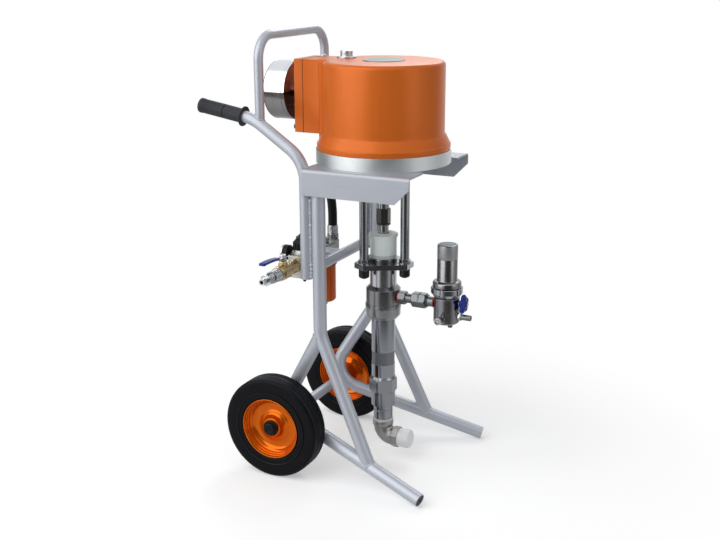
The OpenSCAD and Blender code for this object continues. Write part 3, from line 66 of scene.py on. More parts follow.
# ---------- Places taken from the frame ----------
def low(node):
    """The lowest corner of a CAD node."""
    return Vector(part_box(node)[0])


def high(node):
    """The highest corner of a CAD node."""
    return Vector(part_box(node)[1])


def middle(node):
    """The middle of a CAD node's box."""
    return (low(node) + high(node)) / 2


PUMP = Vector((middle("pump_cylinder").x, middle("pump_cylinder").y, 0))


def at(x, y, z):
    """A point given in millimetres from the foot of the pump's axis."""
    return PUMP + Vector((x, y, z)) * MM


def place(point):
    """A point of the frame in those millimetres, to the hundredth."""
    return Vector([round(value / MM, 2) for value in point - PUMP])


SIDES = (-1, 1)

# Places on the solids that the new pieces meet, in millimetres from the foot of the pump's axis
HUB = place(middle("left_tyre"))
AXLE_END = place(high("axle")).x
DRUM = place(middle("muffler"))
FILTER = place(middle("filter_tube"))
UNIT = place(middle("regulator_body"))
KNOB = place(middle("regulator_knob"))
BOWL = place(middle("lubricator_bowl"))
GAUGE = place(middle("pressure_gauge"))
MOUTH_Z = place(middle("suction_cap")).z
LEVER = Vector((-179.24, UNIT.y, UNIT.z))  # the ball valve's stem
BLEED = Vector((0, -199.5, 438.5))  # the foot of the bleed valve's stem
LINE_Z = 433.74  # the axis of the outlet line
PORT_Z = 405.5  # the axes of the filter's two ports
COVER_TOP = 1003.4  # the motor cover's flat top
FILLER = (25.5, 110)  # the oil filler's axis


# ---------- User settings ----------
class SprayerView(bpy.types.PropertyGroup):
    """Where the camera stands, how it looks at the sprayer, and the floor."""

    eye: bpy.props.FloatVectorProperty(
        name="Eye", description="Camera place from the foot of the pump's axis", subtype="XYZ", unit="LENGTH",
        size=3, default=(-2.3009, -1.0843, 1.233))
    heading: bpy.props.FloatProperty(
        name="Heading", description="Turn of the camera about the vertical", subtype="ANGLE",
        default=math.radians(-63.4755))
    dip: bpy.props.FloatProperty(
        name="Dip", description="How far the camera looks down", subtype="ANGLE", default=math.radians(16.14))
    roll: bpy.props.FloatProperty(
        name="Roll", description="Tilt of the picture", subtype="ANGLE", default=math.radians(-0.237))
    lens: bpy.props.FloatProperty(
        name="Lens", description="Focal length on a 36 mm sensor, in millimetres", default=54.025, min=20)
    floor: bpy.props.FloatProperty(
        name="Floor", description="Radius of the pale floor", unit="LENGTH", default=1.02, min=0.5)


def colour(name, description, default):
    """A colour setting."""
    return bpy.props.FloatVectorProperty(name=name, description=description, subtype="COLOR", size=3, default=default)


class SprayerPaint(bpy.types.PropertyGroup):
    """Colours of the coats and plastics."""

    tube: colour("Tube paint", "Silver paint of the cart", (0.485, 0.51, 0.565))
    cover: colour("Cover enamel", "Enamel of the motor cover", (0.69, 0.15, 0.018))
    rim: colour("Rim enamel", "Enamel of the wheel rims", (0.63, 0.12, 0.001))
    lever: colour("Lever sleeve", "Plastic of the lever and the bleed handle", (0.005, 0.024, 0.26))
    bowl: colour("Bowl", "Plastic of the lubricator bowl", (0.74, 0.125, 0.008))


# ---------- Shader maths ----------
class Field:
    """One output socket of a recipe. The operators on it add Math nodes."""

    def __init__(self, recipe, socket):
        self.recipe = recipe
        self.socket = socket

    def maths(self, operation, *values):
        return self.recipe.node("ShaderNodeMath", {"operation": operation}, dict(enumerate(values)))

    def __add__(self, other):
        return self.maths("ADD", self, other)

    def __rsub__(self, other):
        return self.maths("SUBTRACT", other, self)

    def __mul__(self, other):
        return self.maths("MULTIPLY", self, other)

    def __truediv__(self, other):
        return self.maths("DIVIDE", self, other)

    __radd__ = __add__


class Recipe:
    """A material under construction."""

    def __init__(self, name="finish", world=False):
        self.material = (bpy.data.worlds if world else bpy.data.materials).new(name)
        self.material.use_nodes = True
        self.tree = self.material.node_tree
        self.tree.nodes.clear()
        self.place = self.node("ShaderNodeTexCoord", output="Generated" if world else "Object")

    def node(self, kind, settings=None, inputs=None, output=0):
        """Adds a node: its settings first, then the values or links of its sockets."""
        added = self.tree.nodes.new(kind)
        for name, value in (settings or {}).items():
            if name == "stops":
                self.set_stops(added.color_ramp, value)
            else:
                setattr(added, name, value)
        for name, value in (inputs or {}).items():
            if isinstance(value, Field):
                self.tree.links.new(value.socket, added.inputs[name])
            else:
                added.inputs[name].default_value = value
        return Field(self, added.outputs[output])

    @staticmethod
    def set_stops(ramp, stops):
        while len(ramp.elements) < len(stops):
            ramp.elements.new(1)
        for element, (position, grey) in zip(ramp.elements, stops):
            element.position = position
            element.color = (grey, grey, grey, 1)

    def vector(self, operation, first, second=(0, 0, 0), output=0):
        """Vector maths. Its output 1 is a single value."""
        return self.node("ShaderNodeVectorMath", {"operation": operation}, {0: first, 1: second}, output)

    def spot(self, stretch=(1, 1, 1), centre=(0, 0, 0)):
        """Object coordinates about a centre, stretched along the axes."""
        return self.vector("MULTIPLY", self.vector("SUBTRACT", self.place, centre), stretch)

    def noise(self, scale, detail=3, rough=0.55, stretch=(1, 1, 1)):
        """Cloudy value from 0 to 1."""
        return self.node("ShaderNodeTexNoise", None, {
            "Vector": self.spot(stretch), "Scale": scale, "Detail": detail, "Roughness": rough})

    def ramp(self, value, *stops):
        """A value run through grey stops."""
        return self.node("ShaderNodeValToRGB", {"stops": stops}, {"Fac": value})

    def part(self, value, axis):
        """One axis of a vector."""
        return self.node("ShaderNodeSeparateXYZ", None, {0: value}, output=axis)

    def mix(self, share, first, second):
        """Blends two colours."""
        ends = [c if isinstance(c, Field) else (*c, 1) for c in (first, second)]
        return self.node("ShaderNodeMix", {"data_type": "RGBA"}, {"Factor": share, 6: ends[0], 7: ends[1]}, output=2)

    def between(self, value, low, high):
        """1 where a value lies between two bounds."""
        return value.maths("GREATER_THAN", value, low) * value.maths("LESS_THAN", value, high)

    def height(self):
        """Height over the floor, in millimetres."""
        return self.part(self.place, 2) / MM

    def bump(self, height, depth, rounding):
        """The normal of a surface with rounded edges, raised by a height from 0 to 1. Both sizes in millimetres."""
        eased = self.node("ShaderNodeBevel", {"samples": 6}, {"Radius": rounding * MM})
        return self.node("ShaderNodeBump", None, {
            "Height": height, "Strength": 1, "Distance": depth * MM, "Normal": eased})

    def finish(self, **sockets):
        """Ends the recipe with the surface shader."""
        names = {"colour": "Base Color", "rough": "Roughness", "metal": "Metallic", "normal": "Normal",
                 "coat": "Coat Weight", "coat_rough": "Coat Roughness", "ior": "IOR", "edge": "Specular Tint",
                 "soft": "Subsurface Weight", "soft_reach": "Subsurface Scale", "soft_tint": "Subsurface Radius"}
        values = {}
        for key, value in sockets.items():
            values[names[key]] = (*value, 1) if isinstance(value, (tuple, list)) else value
        self.close(self.node("ShaderNodeBsdfPrincipled", None, values))
        return self.material

    def close(self, shader, kind="ShaderNodeOutputMaterial"):
        """Joins a shader to the output."""
        output = self.tree.nodes.new(kind)
        self.tree.links.new(shader.socket, output.inputs["Surface"])


def shade(colour, factor):
    """A colour made darker or lighter."""
    return tuple(min(1, c * factor) for c in colour)


def fine_rings(axis, lines, slow):
    """The stretch that draws a noise out to fine rings along an axis."""
    return tuple(lines if name == axis else slow for name in "XYZ")


# ---------- Finishes ----------
def tube_paint(colour, streak=(1, 1, 0.35)):
    """Silver spray paint with a fine grain, dust spots and faint scuffs."""
    r = Recipe()
    cloud = r.noise(9, 4)
    grain = r.noise(900, 2)
    scuff = r.ramp(r.noise(55, 6, 0.7, streak), (0.58, 0), (0.74, 1))
    speck = r.ramp(r.noise(420, 2, 0.5), (0.7, 0), (0.76, 1))
    base = r.mix(cloud, shade(colour, 0.92), shade(colour, 1.05))
    base = r.mix(scuff * 0.3, base, shade(colour, 0.74))
    base = r.mix(speck * 0.25, base, shade(colour, 0.55))
    normal = r.bump(grain, 0.05, 1)
    return r.finish(colour=base, rough=0.34 + cloud * 0.1 + scuff * 0.14, metal=0.35, normal=normal)


def enamel(colour, gloss=0.3, metal=0.14, coat=0.03, ior=1.26):
    """Sprayed enamel: orange peel, faint upright runs, soft clouds and a few dull wiped spots."""
    r = Recipe()
    cloud = r.noise(5, 3)
    peel = r.noise(260, 2, 0.5)
    dull = r.noise(11, 3, 0.5)
    runs = r.noise(1, 3, 0.6, (70, 70, 3))
    grime = r.ramp(r.noise(90, 4, 0.6), (0.66, 0), (0.86, 1))
    base = r.mix(cloud, shade(colour, 0.94), shade(colour, 1.05))
    base = r.mix(runs * 0.16, base, shade(colour, 0.62))
    base = r.mix(grime * 0.12, base, shade(colour, 0.45))
    normal = r.bump(peel, 0.03, 1.2)
    return r.finish(colour=base, rough=gloss + dull * 0.04, metal=metal, normal=normal, coat=coat, coat_rough=0.12,
                    ior=ior)


def turned_metal(colour, rough, stain=0.12, lines=200, axis="Z", tone=0.93, round_edge=0.5, matt=None):
    """Lathe-turned metal: fine rings, cloudy tone, darker stains and, if asked, a matt (bottom, top, tone), whose tone
    above 1 paints a lighter reflection.
    """
    r = Recipe()
    rings = r.noise(1, 2, 0.6, fine_rings(axis, lines, 3))
    cloud = r.noise(26, 2, 0.5)
    blot = r.ramp(r.noise(45, 3, 0.6), (0.52, 0), (0.74, 1))
    base = r.mix(cloud, shade(colour, tone), shade(colour, 1.06))
    base = r.mix(rings * 0.15, base, shade(colour, 0.7))
    base = r.mix(blot * stain * 0.5, base, shade(colour, 0.4))
    worn = rough + cloud * 0.06 + blot * 0.06
    if matt:
        bottom, top, matt_tone = matt
        band = r.between(r.height(), bottom, top)
        # A tone above 1 paints a lighter reflection on the band, as on the filter's top.
        base = r.mix(band * 0.75, base, shade(colour, matt_tone))
        worn = worn + band * 0.28
    normal = r.bump(rings, 0.0015, round_edge)
    return r.finish(colour=base, rough=worn, metal=1, normal=normal)


def cast_metal(colour, rough, depth=0.12):
    """Blasted casting with a coarse grain and dirt in its hollows."""
    r = Recipe()
    cloud = r.noise(30, 4)
    grain = r.noise(420, 4, 0.65)
    base = r.mix(cloud, shade(colour, 0.8), shade(colour, 1.08))
    base = r.mix(r.ramp(grain, (0.3, 1), (0.46, 0)) * 0.5, base, shade(colour, 0.45))
    normal = r.bump(grain, depth, 1)
    return r.finish(colour=base, rough=rough + grain * 0.15, metal=0.9, normal=normal)


def polished_metal(colour, axis, rough, dark_reflection_from=None, edge=(1, 1, 1)):
    """Polished plate with fine brushing round an axis, wiping marks and, if asked, a painted dark reflection below a
    height.
    """
    r = Recipe()
    wipe = r.noise(18, 5, 0.6, (0.5, 0.5, 3))
    brush = r.noise(1, 2, 0.5, fine_rings(axis, 900, 4))
    base = r.mix(wipe, shade(colour, 0.9), shade(colour, 1.03))
    worn = rough + wipe * 0.1 + brush * 0.05
    if dark_reflection_from:
        depth = 70  # from where the painted dark reflection starts down to the drum's underside
        below = (dark_reflection_from - r.height()) / depth
        # Painted reflection: below a sharp line the drum is darkened as if it mirrored a dark floor, with streaks that
        # follow the brushing.
        dark = r.ramp(below + wipe * 0.03, (0, 0), (0.03, 1), (0.09, 1), (0.13, 0.74), (0.55, 0.8), (1, 0.94))
        painted_reflection = r.mix(r.ramp(brush, (0.35, 0), (0.65, 1)), (0.055, 0.044, 0.042), (0.105, 0.088, 0.084))
        along = r.part(r.place, 1)
        dark = dark * along.maths("LESS_THAN", along, high("muffler").y - 3 * MM)
        base = r.mix(dark, base, painted_reflection)
        worn = worn + dark * 0.14
    normal = r.bump(brush, 0.02, 1.2)
    return r.finish(colour=base, rough=worn, metal=1, normal=normal, edge=edge)


def rubber(colour, rough=0.62, dust=0.3, grain_depth=0.1, ior=1.22, highlight_rings=()):
    """Black rubber with a fine grain, pale dust and, if asked, painted highlight rings about the wheel's axis."""
    r = Recipe()
    grain = r.noise(520, 3, 0.6)
    patch = r.ramp(r.noise(20, 6, 0.65), (0.45, 0), (0.8, 1))
    base = r.mix(patch * dust, colour, shade(colour, 2.6))
    for inner, outer in highlight_rings:
        spoke = r.vector("LENGTH", r.spot((0, 1, 1), at(0, HUB.y, HUB.z)), output=1)
        # Painted highlight: pale rings on the marker rib and the tread's edges, where light catches them.
        base = r.mix(r.between(spoke / MM, inner, outer) * (0.35 + patch * 0.65), base, shade(colour, 14))
    normal = r.bump(grain, grain_depth, 0.8)
    return r.finish(colour=base, rough=rough + patch * 0.15, normal=normal, ior=ior)


def plastic(colour, rough, grain=0.05, ior=1.45):
    """Moulded plastic with a light grain."""
    r = Recipe()
    cloud = r.noise(16, 4)
    base = r.mix(cloud, shade(colour, 0.9), shade(colour, 1.06))
    normal = r.bump(r.noise(600, 2), grain, 0.6)
    return r.finish(colour=base, rough=rough + cloud * 0.1, normal=normal, ior=ior)


def milky_plastic(colour, wet_low, wet_high):
    """Translucent white plastic, darker where oil stands behind it."""
    r = Recipe()
    level = r.height() + r.noise(40, 3) * 1.5
    wet = r.between(level, wet_low, wet_high)
    cloud = r.noise(25, 4)
    base = r.mix(cloud, shade(colour, 0.93), shade(colour, 1.04))
    base = r.mix(wet * 0.55, base, (0.3, 0.36, 0.33))
    normal = r.bump(r.noise(500, 2), 0.03, 1)
    return r.finish(colour=base, rough=0.32 + cloud * 0.1, normal=normal, soft=0.25, soft_reach=0.01,
                    soft_tint=Vector((0.7, 0.8, 0.75)))


def bowl_plastic(colour):
    """Tinted bowl with upright flow lines."""
    r = Recipe()
    flow = r.noise(1, 3, 0.6, (160, 160, 4))
    base = r.mix(r.ramp(flow, (0.35, 0), (0.7, 1)), shade(colour, 0.62), shade(colour, 1.1))
    normal = r.bump(flow, 0.1, 0.8)
    return r.finish(colour=base, rough=0.16 + flow * 0.12, normal=normal, coat=0.2, coat_rough=0.05, ior=1.32)


FINISHES = {}


def build_finishes(paint):
    """Makes every finish once."""
    FINISHES.update({
        "tube": tube_paint(tuple(paint.tube)),
        # Painted shade: the brackets get a darker copy of the tube paint, partly to darken the shadowed far bracket.
        "plate": tube_paint(shade(tuple(paint.tube), 0.8), (0.5, 0.12, 2.2)),
        "orange": enamel(tuple(paint.cover)),
        "rim": enamel(tuple(paint.rim), gloss=0.15, metal=0.58, coat=0.16, ior=1.12),
        "flange": turned_metal((0.66, 0.69, 0.69), 0.42, 0.1, 420, tone=0.92, round_edge=0.8),
        "casting": cast_metal((0.42, 0.42, 0.4), 0.3),
        "iron": cast_metal((0.34, 0.33, 0.32), 0.27, 0.15),
        # The drum gets a painted dark reflection below 925 mm.
        "chrome": polished_metal((0.78, 0.8, 0.83), "Y", 0.09, dark_reflection_from=925),
        "disc": polished_metal((0.24, 0.265, 0.27), "Z", 0.34, edge=(0.66, 0.72, 0.72)),
        "cap_metal": turned_metal((0.6, 0.61, 0.63), 0.34, 0.1),
        "steel": turned_metal((0.36, 0.37, 0.39), 0.15, 0.08),
        "cylinder": turned_metal((0.245, 0.26, 0.285), 0.15, 0.05, tone=0.96, matt=(257, 290, 0.62)),
        "valve": turned_metal((0.235, 0.245, 0.26), 0.17, 0.06),
        "browned": turned_metal((0.25, 0.242, 0.252), 0.2, 0.06, tone=0.95, round_edge=0.8),
        # The filter's top band is rougher, and painted lighter as a painted reflection.
        "filter": turned_metal((0.235, 0.23, 0.237), 0.2, 0.06, tone=0.95, matt=(548, 579, 1.6)),
        "nut": turned_metal((0.28, 0.29, 0.295), 0.2, 0.25, 150, tone=0.85, round_edge=1),
        "rod": turned_metal((0.46, 0.46, 0.465), 0.13, 0.06, 300),
        "fitting": turned_metal((0.185, 0.198, 0.2), 0.34, 0.15, axis="Y"),
        "nipple": turned_metal((0.58, 0.6, 0.62), 0.22, axis="X"),
        "zinc": turned_metal((0.5, 0.51, 0.53), 0.17),
        "gunmetal": turned_metal((0.15, 0.145, 0.13), 0.28, 0.35, 500),
        "bolt": turned_metal((0.045, 0.043, 0.04), 0.34, 0.2, 500),
        "brass": turned_metal((0.58, 0.45, 0.25), 0.32, 0.35, axis="X", tone=0.8),
        # The tyre's two pale rings are painted highlights on the marker rib and the tread's shoulder.
        "tyre": rubber((0.0036, 0.0038, 0.005), 0.4, 0.2, 0.08, 1.19,
                       ((91.9, 93), (125.9, 126.7))),
        "grip": rubber((0.04, 0.042, 0.047), 0.36, 0.1),
        "hose": rubber((0.01, 0.01, 0.011), 0.32, 0.06, 0.06),
        "black": plastic((0.004, 0.004, 0.005), 0.3, ior=1.26),
        "seam": plastic((0.06, 0.012, 0.004), 0.5),
        "white": milky_plastic((0.78, 0.86, 0.83), 529, 541),
        "cap": milky_plastic((0.94, 0.97, 0.97), 0, 1),
        "blue": plastic(tuple(paint.lever), 0.24, ior=1.34),
        "bowl": bowl_plastic(tuple(paint.bowl)),
        "red": plastic((0.55, 0.02, 0.015), 0.4),
        "sealant": plastic((0.5, 0.045, 0.025), 0.45, 0.2),
        "tape": plastic((0.72, 0.7, 0.64), 0.5, 0.25),
        "dial": plastic((0.82, 0.82, 0.8), 0.4, 0.01),
        "ink": plastic((0.01, 0.01, 0.01), 0.5, 0.01),
    })
    for name, finish in FINISHES.items():
        finish.name = name


NODE_FINISH = {
    "tube": ("legs", "right_skid", "left_skid", "handles", "lifting_hoop", "cross_tubes"),
    "plate": ("motor_brackets",),
    "orange": ("motor_cover", "valve_box", "valve_box_plate"),
    "rim": ("right_rim", "left_rim"),
    "flange": ("motor_base",),
    "casting": ("regulator_body", "lubricator_head", "motor_cylinder", "air_piston"),
    "iron": ("suction_elbow",),
    "chrome": ("muffler", "foot_ball", "piston_ball"),
    "disc": ("top_fittings",),
    "steel": ("tie_rods", "tie_plate", "filter_ring_nut", "filter_element", "axle", "valve_spool"),
    "valve": ("foot_valve_body",),
    "cylinder": ("pump_cylinder",),
    "browned": ("outlet_body", "filter_body"),
    "filter": ("filter_tube",),
    "nut": ("union_nut",),
    "rod": ("motor_rod", "pump_rod"),
    "fitting": ("outlet_fittings",),
    "nipple": ("air_inlet_nipple",),
    "zinc": ("hose_fittings", "gland_body"),
    "gunmetal": ("coupling_nut", "gland_nut"),
    "bolt": ("fasteners",),
    "brass": ("air_valve_body",),
    "tyre": ("right_tyre", "left_tyre"),
    "grip": ("grips", "skid_plugs"),
    "hose": ("air_hose",),
    "black": ("axle_caps", "regulator_knob", "pressure_gauge", "rod_seals"),
    "white": ("wet_cup", "wet_cup_lid"),
    "cap": ("suction_cap",),
    "blue": ("air_valve_lever", "bleed_handle"),
    "bowl": ("lubricator_bowl",),
    "red": ("gauge_needle",),
}

# The record's slot that each finish stands for: its first node's, or its own where only new pieces have it
NODE_SLOT = {part["node"]: part["material_slot"] for part in frame["record"]["subparts"]}
FINISH_SLOT = {finish: NODE_SLOT[nodes[0]] for finish, nodes in NODE_FINISH.items()}
FINISH_SLOT.update({"seam": "black_rubber", "cap_metal": "bright_steel", "sealant": "red_paint",
                    "tape": "white_plastic", "dial": "white_plastic", "ink": "black_plastic"})


# ---------- Mesh helpers ----------
def polar(radius, degrees, x=0, y=0):
    """A point on a circle about (x, y)."""
    turn = math.radians(degrees)
    return x + radius * math.cos(turn), y + radius * math.sin(turn)


def arc(centre, radius, start, end, steps):
    """Points on an arc, with angles in degrees from the first axis towards the second."""
    return [polar(radius, start + (end - start) * i / steps, *centre) for i in range(steps + 1)]


def block(size):
    """A block about the origin."""
    part = bmesh.new()
    bmesh.ops.create_cube(part, size=1)
    bmesh.ops.scale(part, vec=size, verts=part.verts)
    return part


def ease(part, edge):
    """Rounds every edge of a part."""
    if edge:
        bmesh.ops.bevel(part, geom=part.edges[:], offset=edge, segments=2, profile=0.5, affect="EDGES",
                        clamp_overlap=True, material=-1)


class Blank:
    """A piece in the making, in millimetres from the foot of the pump's axis."""

    def __init__(self):
        self.bm = bmesh.new()

    def take(self, part, foot=(0, 0, 0), axis=Z, turn=0):
        """Adds a part made along +Z, stood on its foot along an axis."""
        bmesh.ops.recalc_face_normals(part, faces=part.faces)
        stand = Z.rotation_difference(Vector(axis)).to_matrix().to_4x4()
        turned = Matrix.Rotation(math.radians(turn), 4, "Z")
        bmesh.ops.transform(part, matrix=Matrix.Translation(foot) @ stand @ turned, verts=part.verts)
        mesh = bpy.data.meshes.new("part")
        part.to_mesh(mesh)
        part.free()
        self.bm.from_mesh(mesh)
        bpy.data.meshes.remove(mesh)

    def lathe(self, profile, foot=(0, 0, 0), axis=Z, steps=72):
        """Turns a profile of (radius, height) pairs round an axis."""
        part = bmesh.new()
        corners = [part.verts.new((radius, 0, height)) for radius, height in profile]
        edges = [part.edges.new(pair) for pair in zip(corners, corners[1:])]
        bmesh.ops.spin(part, geom=corners + edges, cent=(0, 0, 0), axis=(0, 0, 1), angle=math.tau,
                       steps=steps, use_merge=True)
        bmesh.ops.remove_doubles(part, verts=part.verts, dist=0.002)
        self.take(part, foot, axis)

    def ring(self, radius, thick, foot, axis=Z, steps=60):
        """A round-sectioned ring."""
        self.lathe(arc((radius, 0), thick, 0, 360, 10), foot, axis, steps)

    def prism(self, sides, radius, length, foot, axis=Z, turn=0, edge=0.8):
        """A bar of flats, such as a hexagon, with eased edges."""
        part = bmesh.new()
        bmesh.ops.create_cone(part, cap_ends=True, segments=sides, radius1=radius, radius2=radius, depth=length)
        bmesh.ops.translate(part, verts=part.verts, vec=(0, 0, length / 2))
        ease(part, edge)
        self.take(part, foot, axis, turn)

    def slab(self, size, centre, edge=1):
        """A block with eased edges."""
        part = block(size)
        ease(part, edge)
        self.take(part, centre)

    def sweep(self, points, radius, swell=None, closed=False):
        """A round bead along a path, thicker where the swell says."""
        curve = bpy.data.curves.new("path", "CURVE")
        curve.dimensions = "3D"
        curve.bevel_depth = radius
        curve.bevel_resolution = 2
        curve.use_fill_caps = not closed
        line = curve.splines.new("POLY")
        line.points.add(len(points) - 1)
        line.use_cyclic_u = closed
        for i, point in enumerate(points):
            line.points[i].co = (*point, 1)
            line.points[i].radius = swell[i] if swell else 1
        holder = bpy.data.objects.new("path", curve)
        mesh = bpy.data.meshes.new_from_object(holder)
        part = bmesh.new()
        part.from_mesh(mesh)
        bpy.data.meshes.remove(mesh)
        bpy.data.objects.remove(holder)
        bpy.data.curves.remove(curve)
        bmesh.ops.remove_doubles(part, verts=part.verts, dist=0.001)
        self.take(part)

    def done(self, name, finish, body="cart", instead=(), smooth_angle=35):
        """Ends the piece: places it, gives it its finish, hangs it under its body's empty and hides the CAD nodes it
        stands in for.
        """
        bmesh.ops.scale(self.bm, vec=(MM, MM, MM), verts=self.bm.verts)
        bmesh.ops.translate(self.bm, verts=self.bm.verts, vec=PUMP)
        mesh = bpy.data.meshes.new(name)
        self.bm.to_mesh(mesh)
        self.bm.free()
        piece = bpy.data.objects.new(name, mesh)
        bpy.context.scene.collection.objects.link(piece)
        mesh.materials.append(FINISHES[finish])
        mesh.shade_smooth()
        mesh.set_sharp_from_angle(angle=math.radians(smooth_angle))
        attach(piece, body)
        if instead:
            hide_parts(*instead)
        return piece


def turned_piece(name, finish, profile, foot=(0, 0, 0), axis=Z, steps=72, body="cart", instead=()):
    """A piece made of one turned part."""
    blank = Blank()
    blank.lathe(profile, foot, axis, steps)
    blank.done(name, finish, body, instead)


def ripple(count, seed, depth=0.16):
    """Uneven thickness along a weld."""
    chance = random.Random(seed)
    return [1 + depth * math.sin(i * 2.1) + chance.uniform(-depth, depth) * 0.6 for i in range(count)]


def saddle(foot, axis, radius, host, host_axis, host_radius, count=60):
    """The closed line on which a tube meets another tube."""
    foot, host = Vector(foot), Vector(host)
    axis, host_axis = Vector(axis).normalized(), Vector(host_axis).normalized()
    side = axis.orthogonal().normalized()
    other = axis.cross(side)
    across = axis - host_axis * axis.dot(host_axis)
    line = []
    for i in range(count):
        turn = math.tau * i / count
        start = foot + (side * math.cos(turn) + other * math.sin(turn)) * radius
        offset = start - host - host_axis * (start - host).dot(host_axis)
        a, b = across.dot(across), 2 * across.dot(offset)
        c = offset.dot(offset) - host_radius ** 2
        root = max(b * b - 4 * a * c, 0) ** 0.5
        line.append(start + axis * ((-b - root) / (2 * a)))
    return line


# ---------- Wheels ----------
def mirrored(half, bridge=()):
    """A closed profile: a half, a bridge and the half's mirror image."""
    return [*half, *bridge, *((radius, -height) for radius, height in reversed(half)), half[0]]


def tyre_profile():
    """From the bead over the marker ring to the grooved tread."""
    wall = [(72, 23), (76.4, 24.5), (78.5, 27.4), (81, 28.5), (91.2, 27.9), (91.8, 29.6), (92.6, 30.4),
            (93.8, 30.2), (94.8, 27.7), (108, 28.6)] + arc((117.5, 19.4), 9.2, 84, 20, 5)
    groove = [(126.9, 0), (126.6, 0.4), (124.6, 0.8), (124.6, 1.8), (126.6, 2.2), (127, 2.7)]
    tread = [(radius, start - fall) for start in (19.6, 15.2, 10.8, 6.4) for radius, fall in groove]
    return mirrored(wall + tread)


def rim_profile():
    """A pressed dish with a rolled edge, two steps, a raised ring and the hub tube."""
    dish = [(74, 25.5), (76, 27.6), (76.3, 28.4), (75.6, 29), (74.4, 28.9), (73.4, 27.4), (72, 23.4),
            (70.8, 22.6), (69.2, 18.4), (68, 17.6), (66, 12.4), (64.8, 11.6), (62.4, 6.6), (59.6, 3.8),
            (56, 2.4), (48, 2), (39, 2.2), (37.6, 3.2), (34, 3.6), (30.4, 4.8), (27.4, 7.4), (25.4, 11.2),
            (24.2, 15.6)]
    tube = [(23.4, 18.2), (22, 19), (10.6, 19), (10.6, -41), (22, -41), (23, -40)]
    return mirrored(dish, tube)


def wheel(side, word):
    """One wheel: its tyre and its rim."""
    hub, body = (side * HUB.x, HUB.y, HUB.z), word + "_wheel"
    turned_piece(word + "_tyre_tread", "tyre", tyre_profile(), hub, X * side, 144, body, (word + "_tyre",))
    turned_piece(word + "_rim_dish", "rim", rim_profile(), hub, X * side, 120, body, (word + "_rim",))


def axle_caps():
    """The pressed caps on both ends of the axle."""
    caps = Blank()
    dome = ([(0, 0), (20, 0), (20, 2.2), (19.2, 3.2), (17, 3.6), (16.4, 4.4), (16, 7)] + arc((12, 7), 4, 0, 90, 5)
            + [(8, 11), (7.4, 10.4), (0, 10.4)])
    for side in SIDES:
        caps.lathe(dome, (side * AXLE_END, HUB.y, HUB.z), X * side, 60)
    caps.done("axle_cap_domes", "black", instead=("axle_caps",))


# ---------- Air motor ----------
def motor_cover():
    """The drawn cover with its flared foot, hollow inside."""
    cover = Blank()
    foot = (155.5, 800.4)
    cover.lathe([foot, (158.2, 800.4), (158.5, 801), (158.5, 811)] + arc((155.6, 811.4), 2.9, 0, 70, 4)
                + [(155.2, 817.2), (154, 819.6), (148, 831.8)] + arc((149.6, 838.4), 5.6, 205, 180, 3)
                + [(144, 846)] + arc((133, 992.5), 11, 0, 90, 8) + [(0, 1003.5)], steps=128)
    cover.lathe([foot, (155.5, 812), (143, 832), (141, 844), (141, 992), (131, 1000.5), (0, 1000.5)], steps=128)
    bmesh.ops.remove_doubles(cover.bm, verts=cover.bm.verts, dist=0.01)
    bmesh.ops.recalc_face_normals(cover.bm, faces=cover.bm.faces)
    cover.done("motor_cover_shell", "orange", instead=("motor_cover",))


def box_fillets():
    """The two hollow fillets where the valve box runs into the round cover."""
    coves = Blank()
    radius, reach, wall = 16, 144, 51  # of the fillet, of the cover and of half the box
    foot, height = 830, 166
    gap = radius + reach
    centre = Vector((wall + radius, (gap ** 2 - (wall + radius) ** 2) ** 0.5, 0))
    touch = centre * (reach / gap)
    sweep = (touch - centre).angle(Vector((-1, 0, 0)))
    for side in SIDES:
        part = bmesh.new()
        first = part.verts.new(centre + Vector((-radius, 0, 0)))
        bmesh.ops.spin(part, geom=[first], cent=centre, axis=(0, 0, 1), angle=sweep, steps=8)
        line = sorted(part.verts, key=lambda v: -v.co.y)
        root = part.verts.new((wall - 5, touch.y - 8, 0))
        face = part.faces.new([*line, root])
        raised = bmesh.ops.extrude_face_region(part, geom=[face])
        top = [v for v in raised["geom"] if isinstance(v, bmesh.types.BMVert)]
        bmesh.ops.translate(part, verts=top, vec=(0, 0, height))
        if side < 0:
            bmesh.ops.scale(part, vec=(-1, 1, 1), verts=part.verts)
        coves.take(part, (0, 0, foot))
    coves.done("box_fillets", "orange")


def box_seam():
    """The dark gasket between the valve box and its end plate."""
    seam = Blank()
    seam.slab((102.7, 1.3, 174.1), (0, 188.5, 916.8), 0)
    seam.done("box_seam", "seam")


def box_screws():
    """Four cap screws with washers on the back of the end plate."""
    screws = Blank()
    washer = [(0, 0), (7.5, 0), (7.5, 1.2), (0, 1.2)]
    head = [(3.2, 4), (3.2, 6.2), (5.4, 6.2), (6, 5.6), (6, 1.2), (0, 1.2), (0, 4)]
    for x in (-41, 41):
        for z in (842, 991):
            for profile in (washer, head):
                screws.lathe(profile, (x, 211.4, z), Y, 32)
    screws.done("box_screws", "bolt")


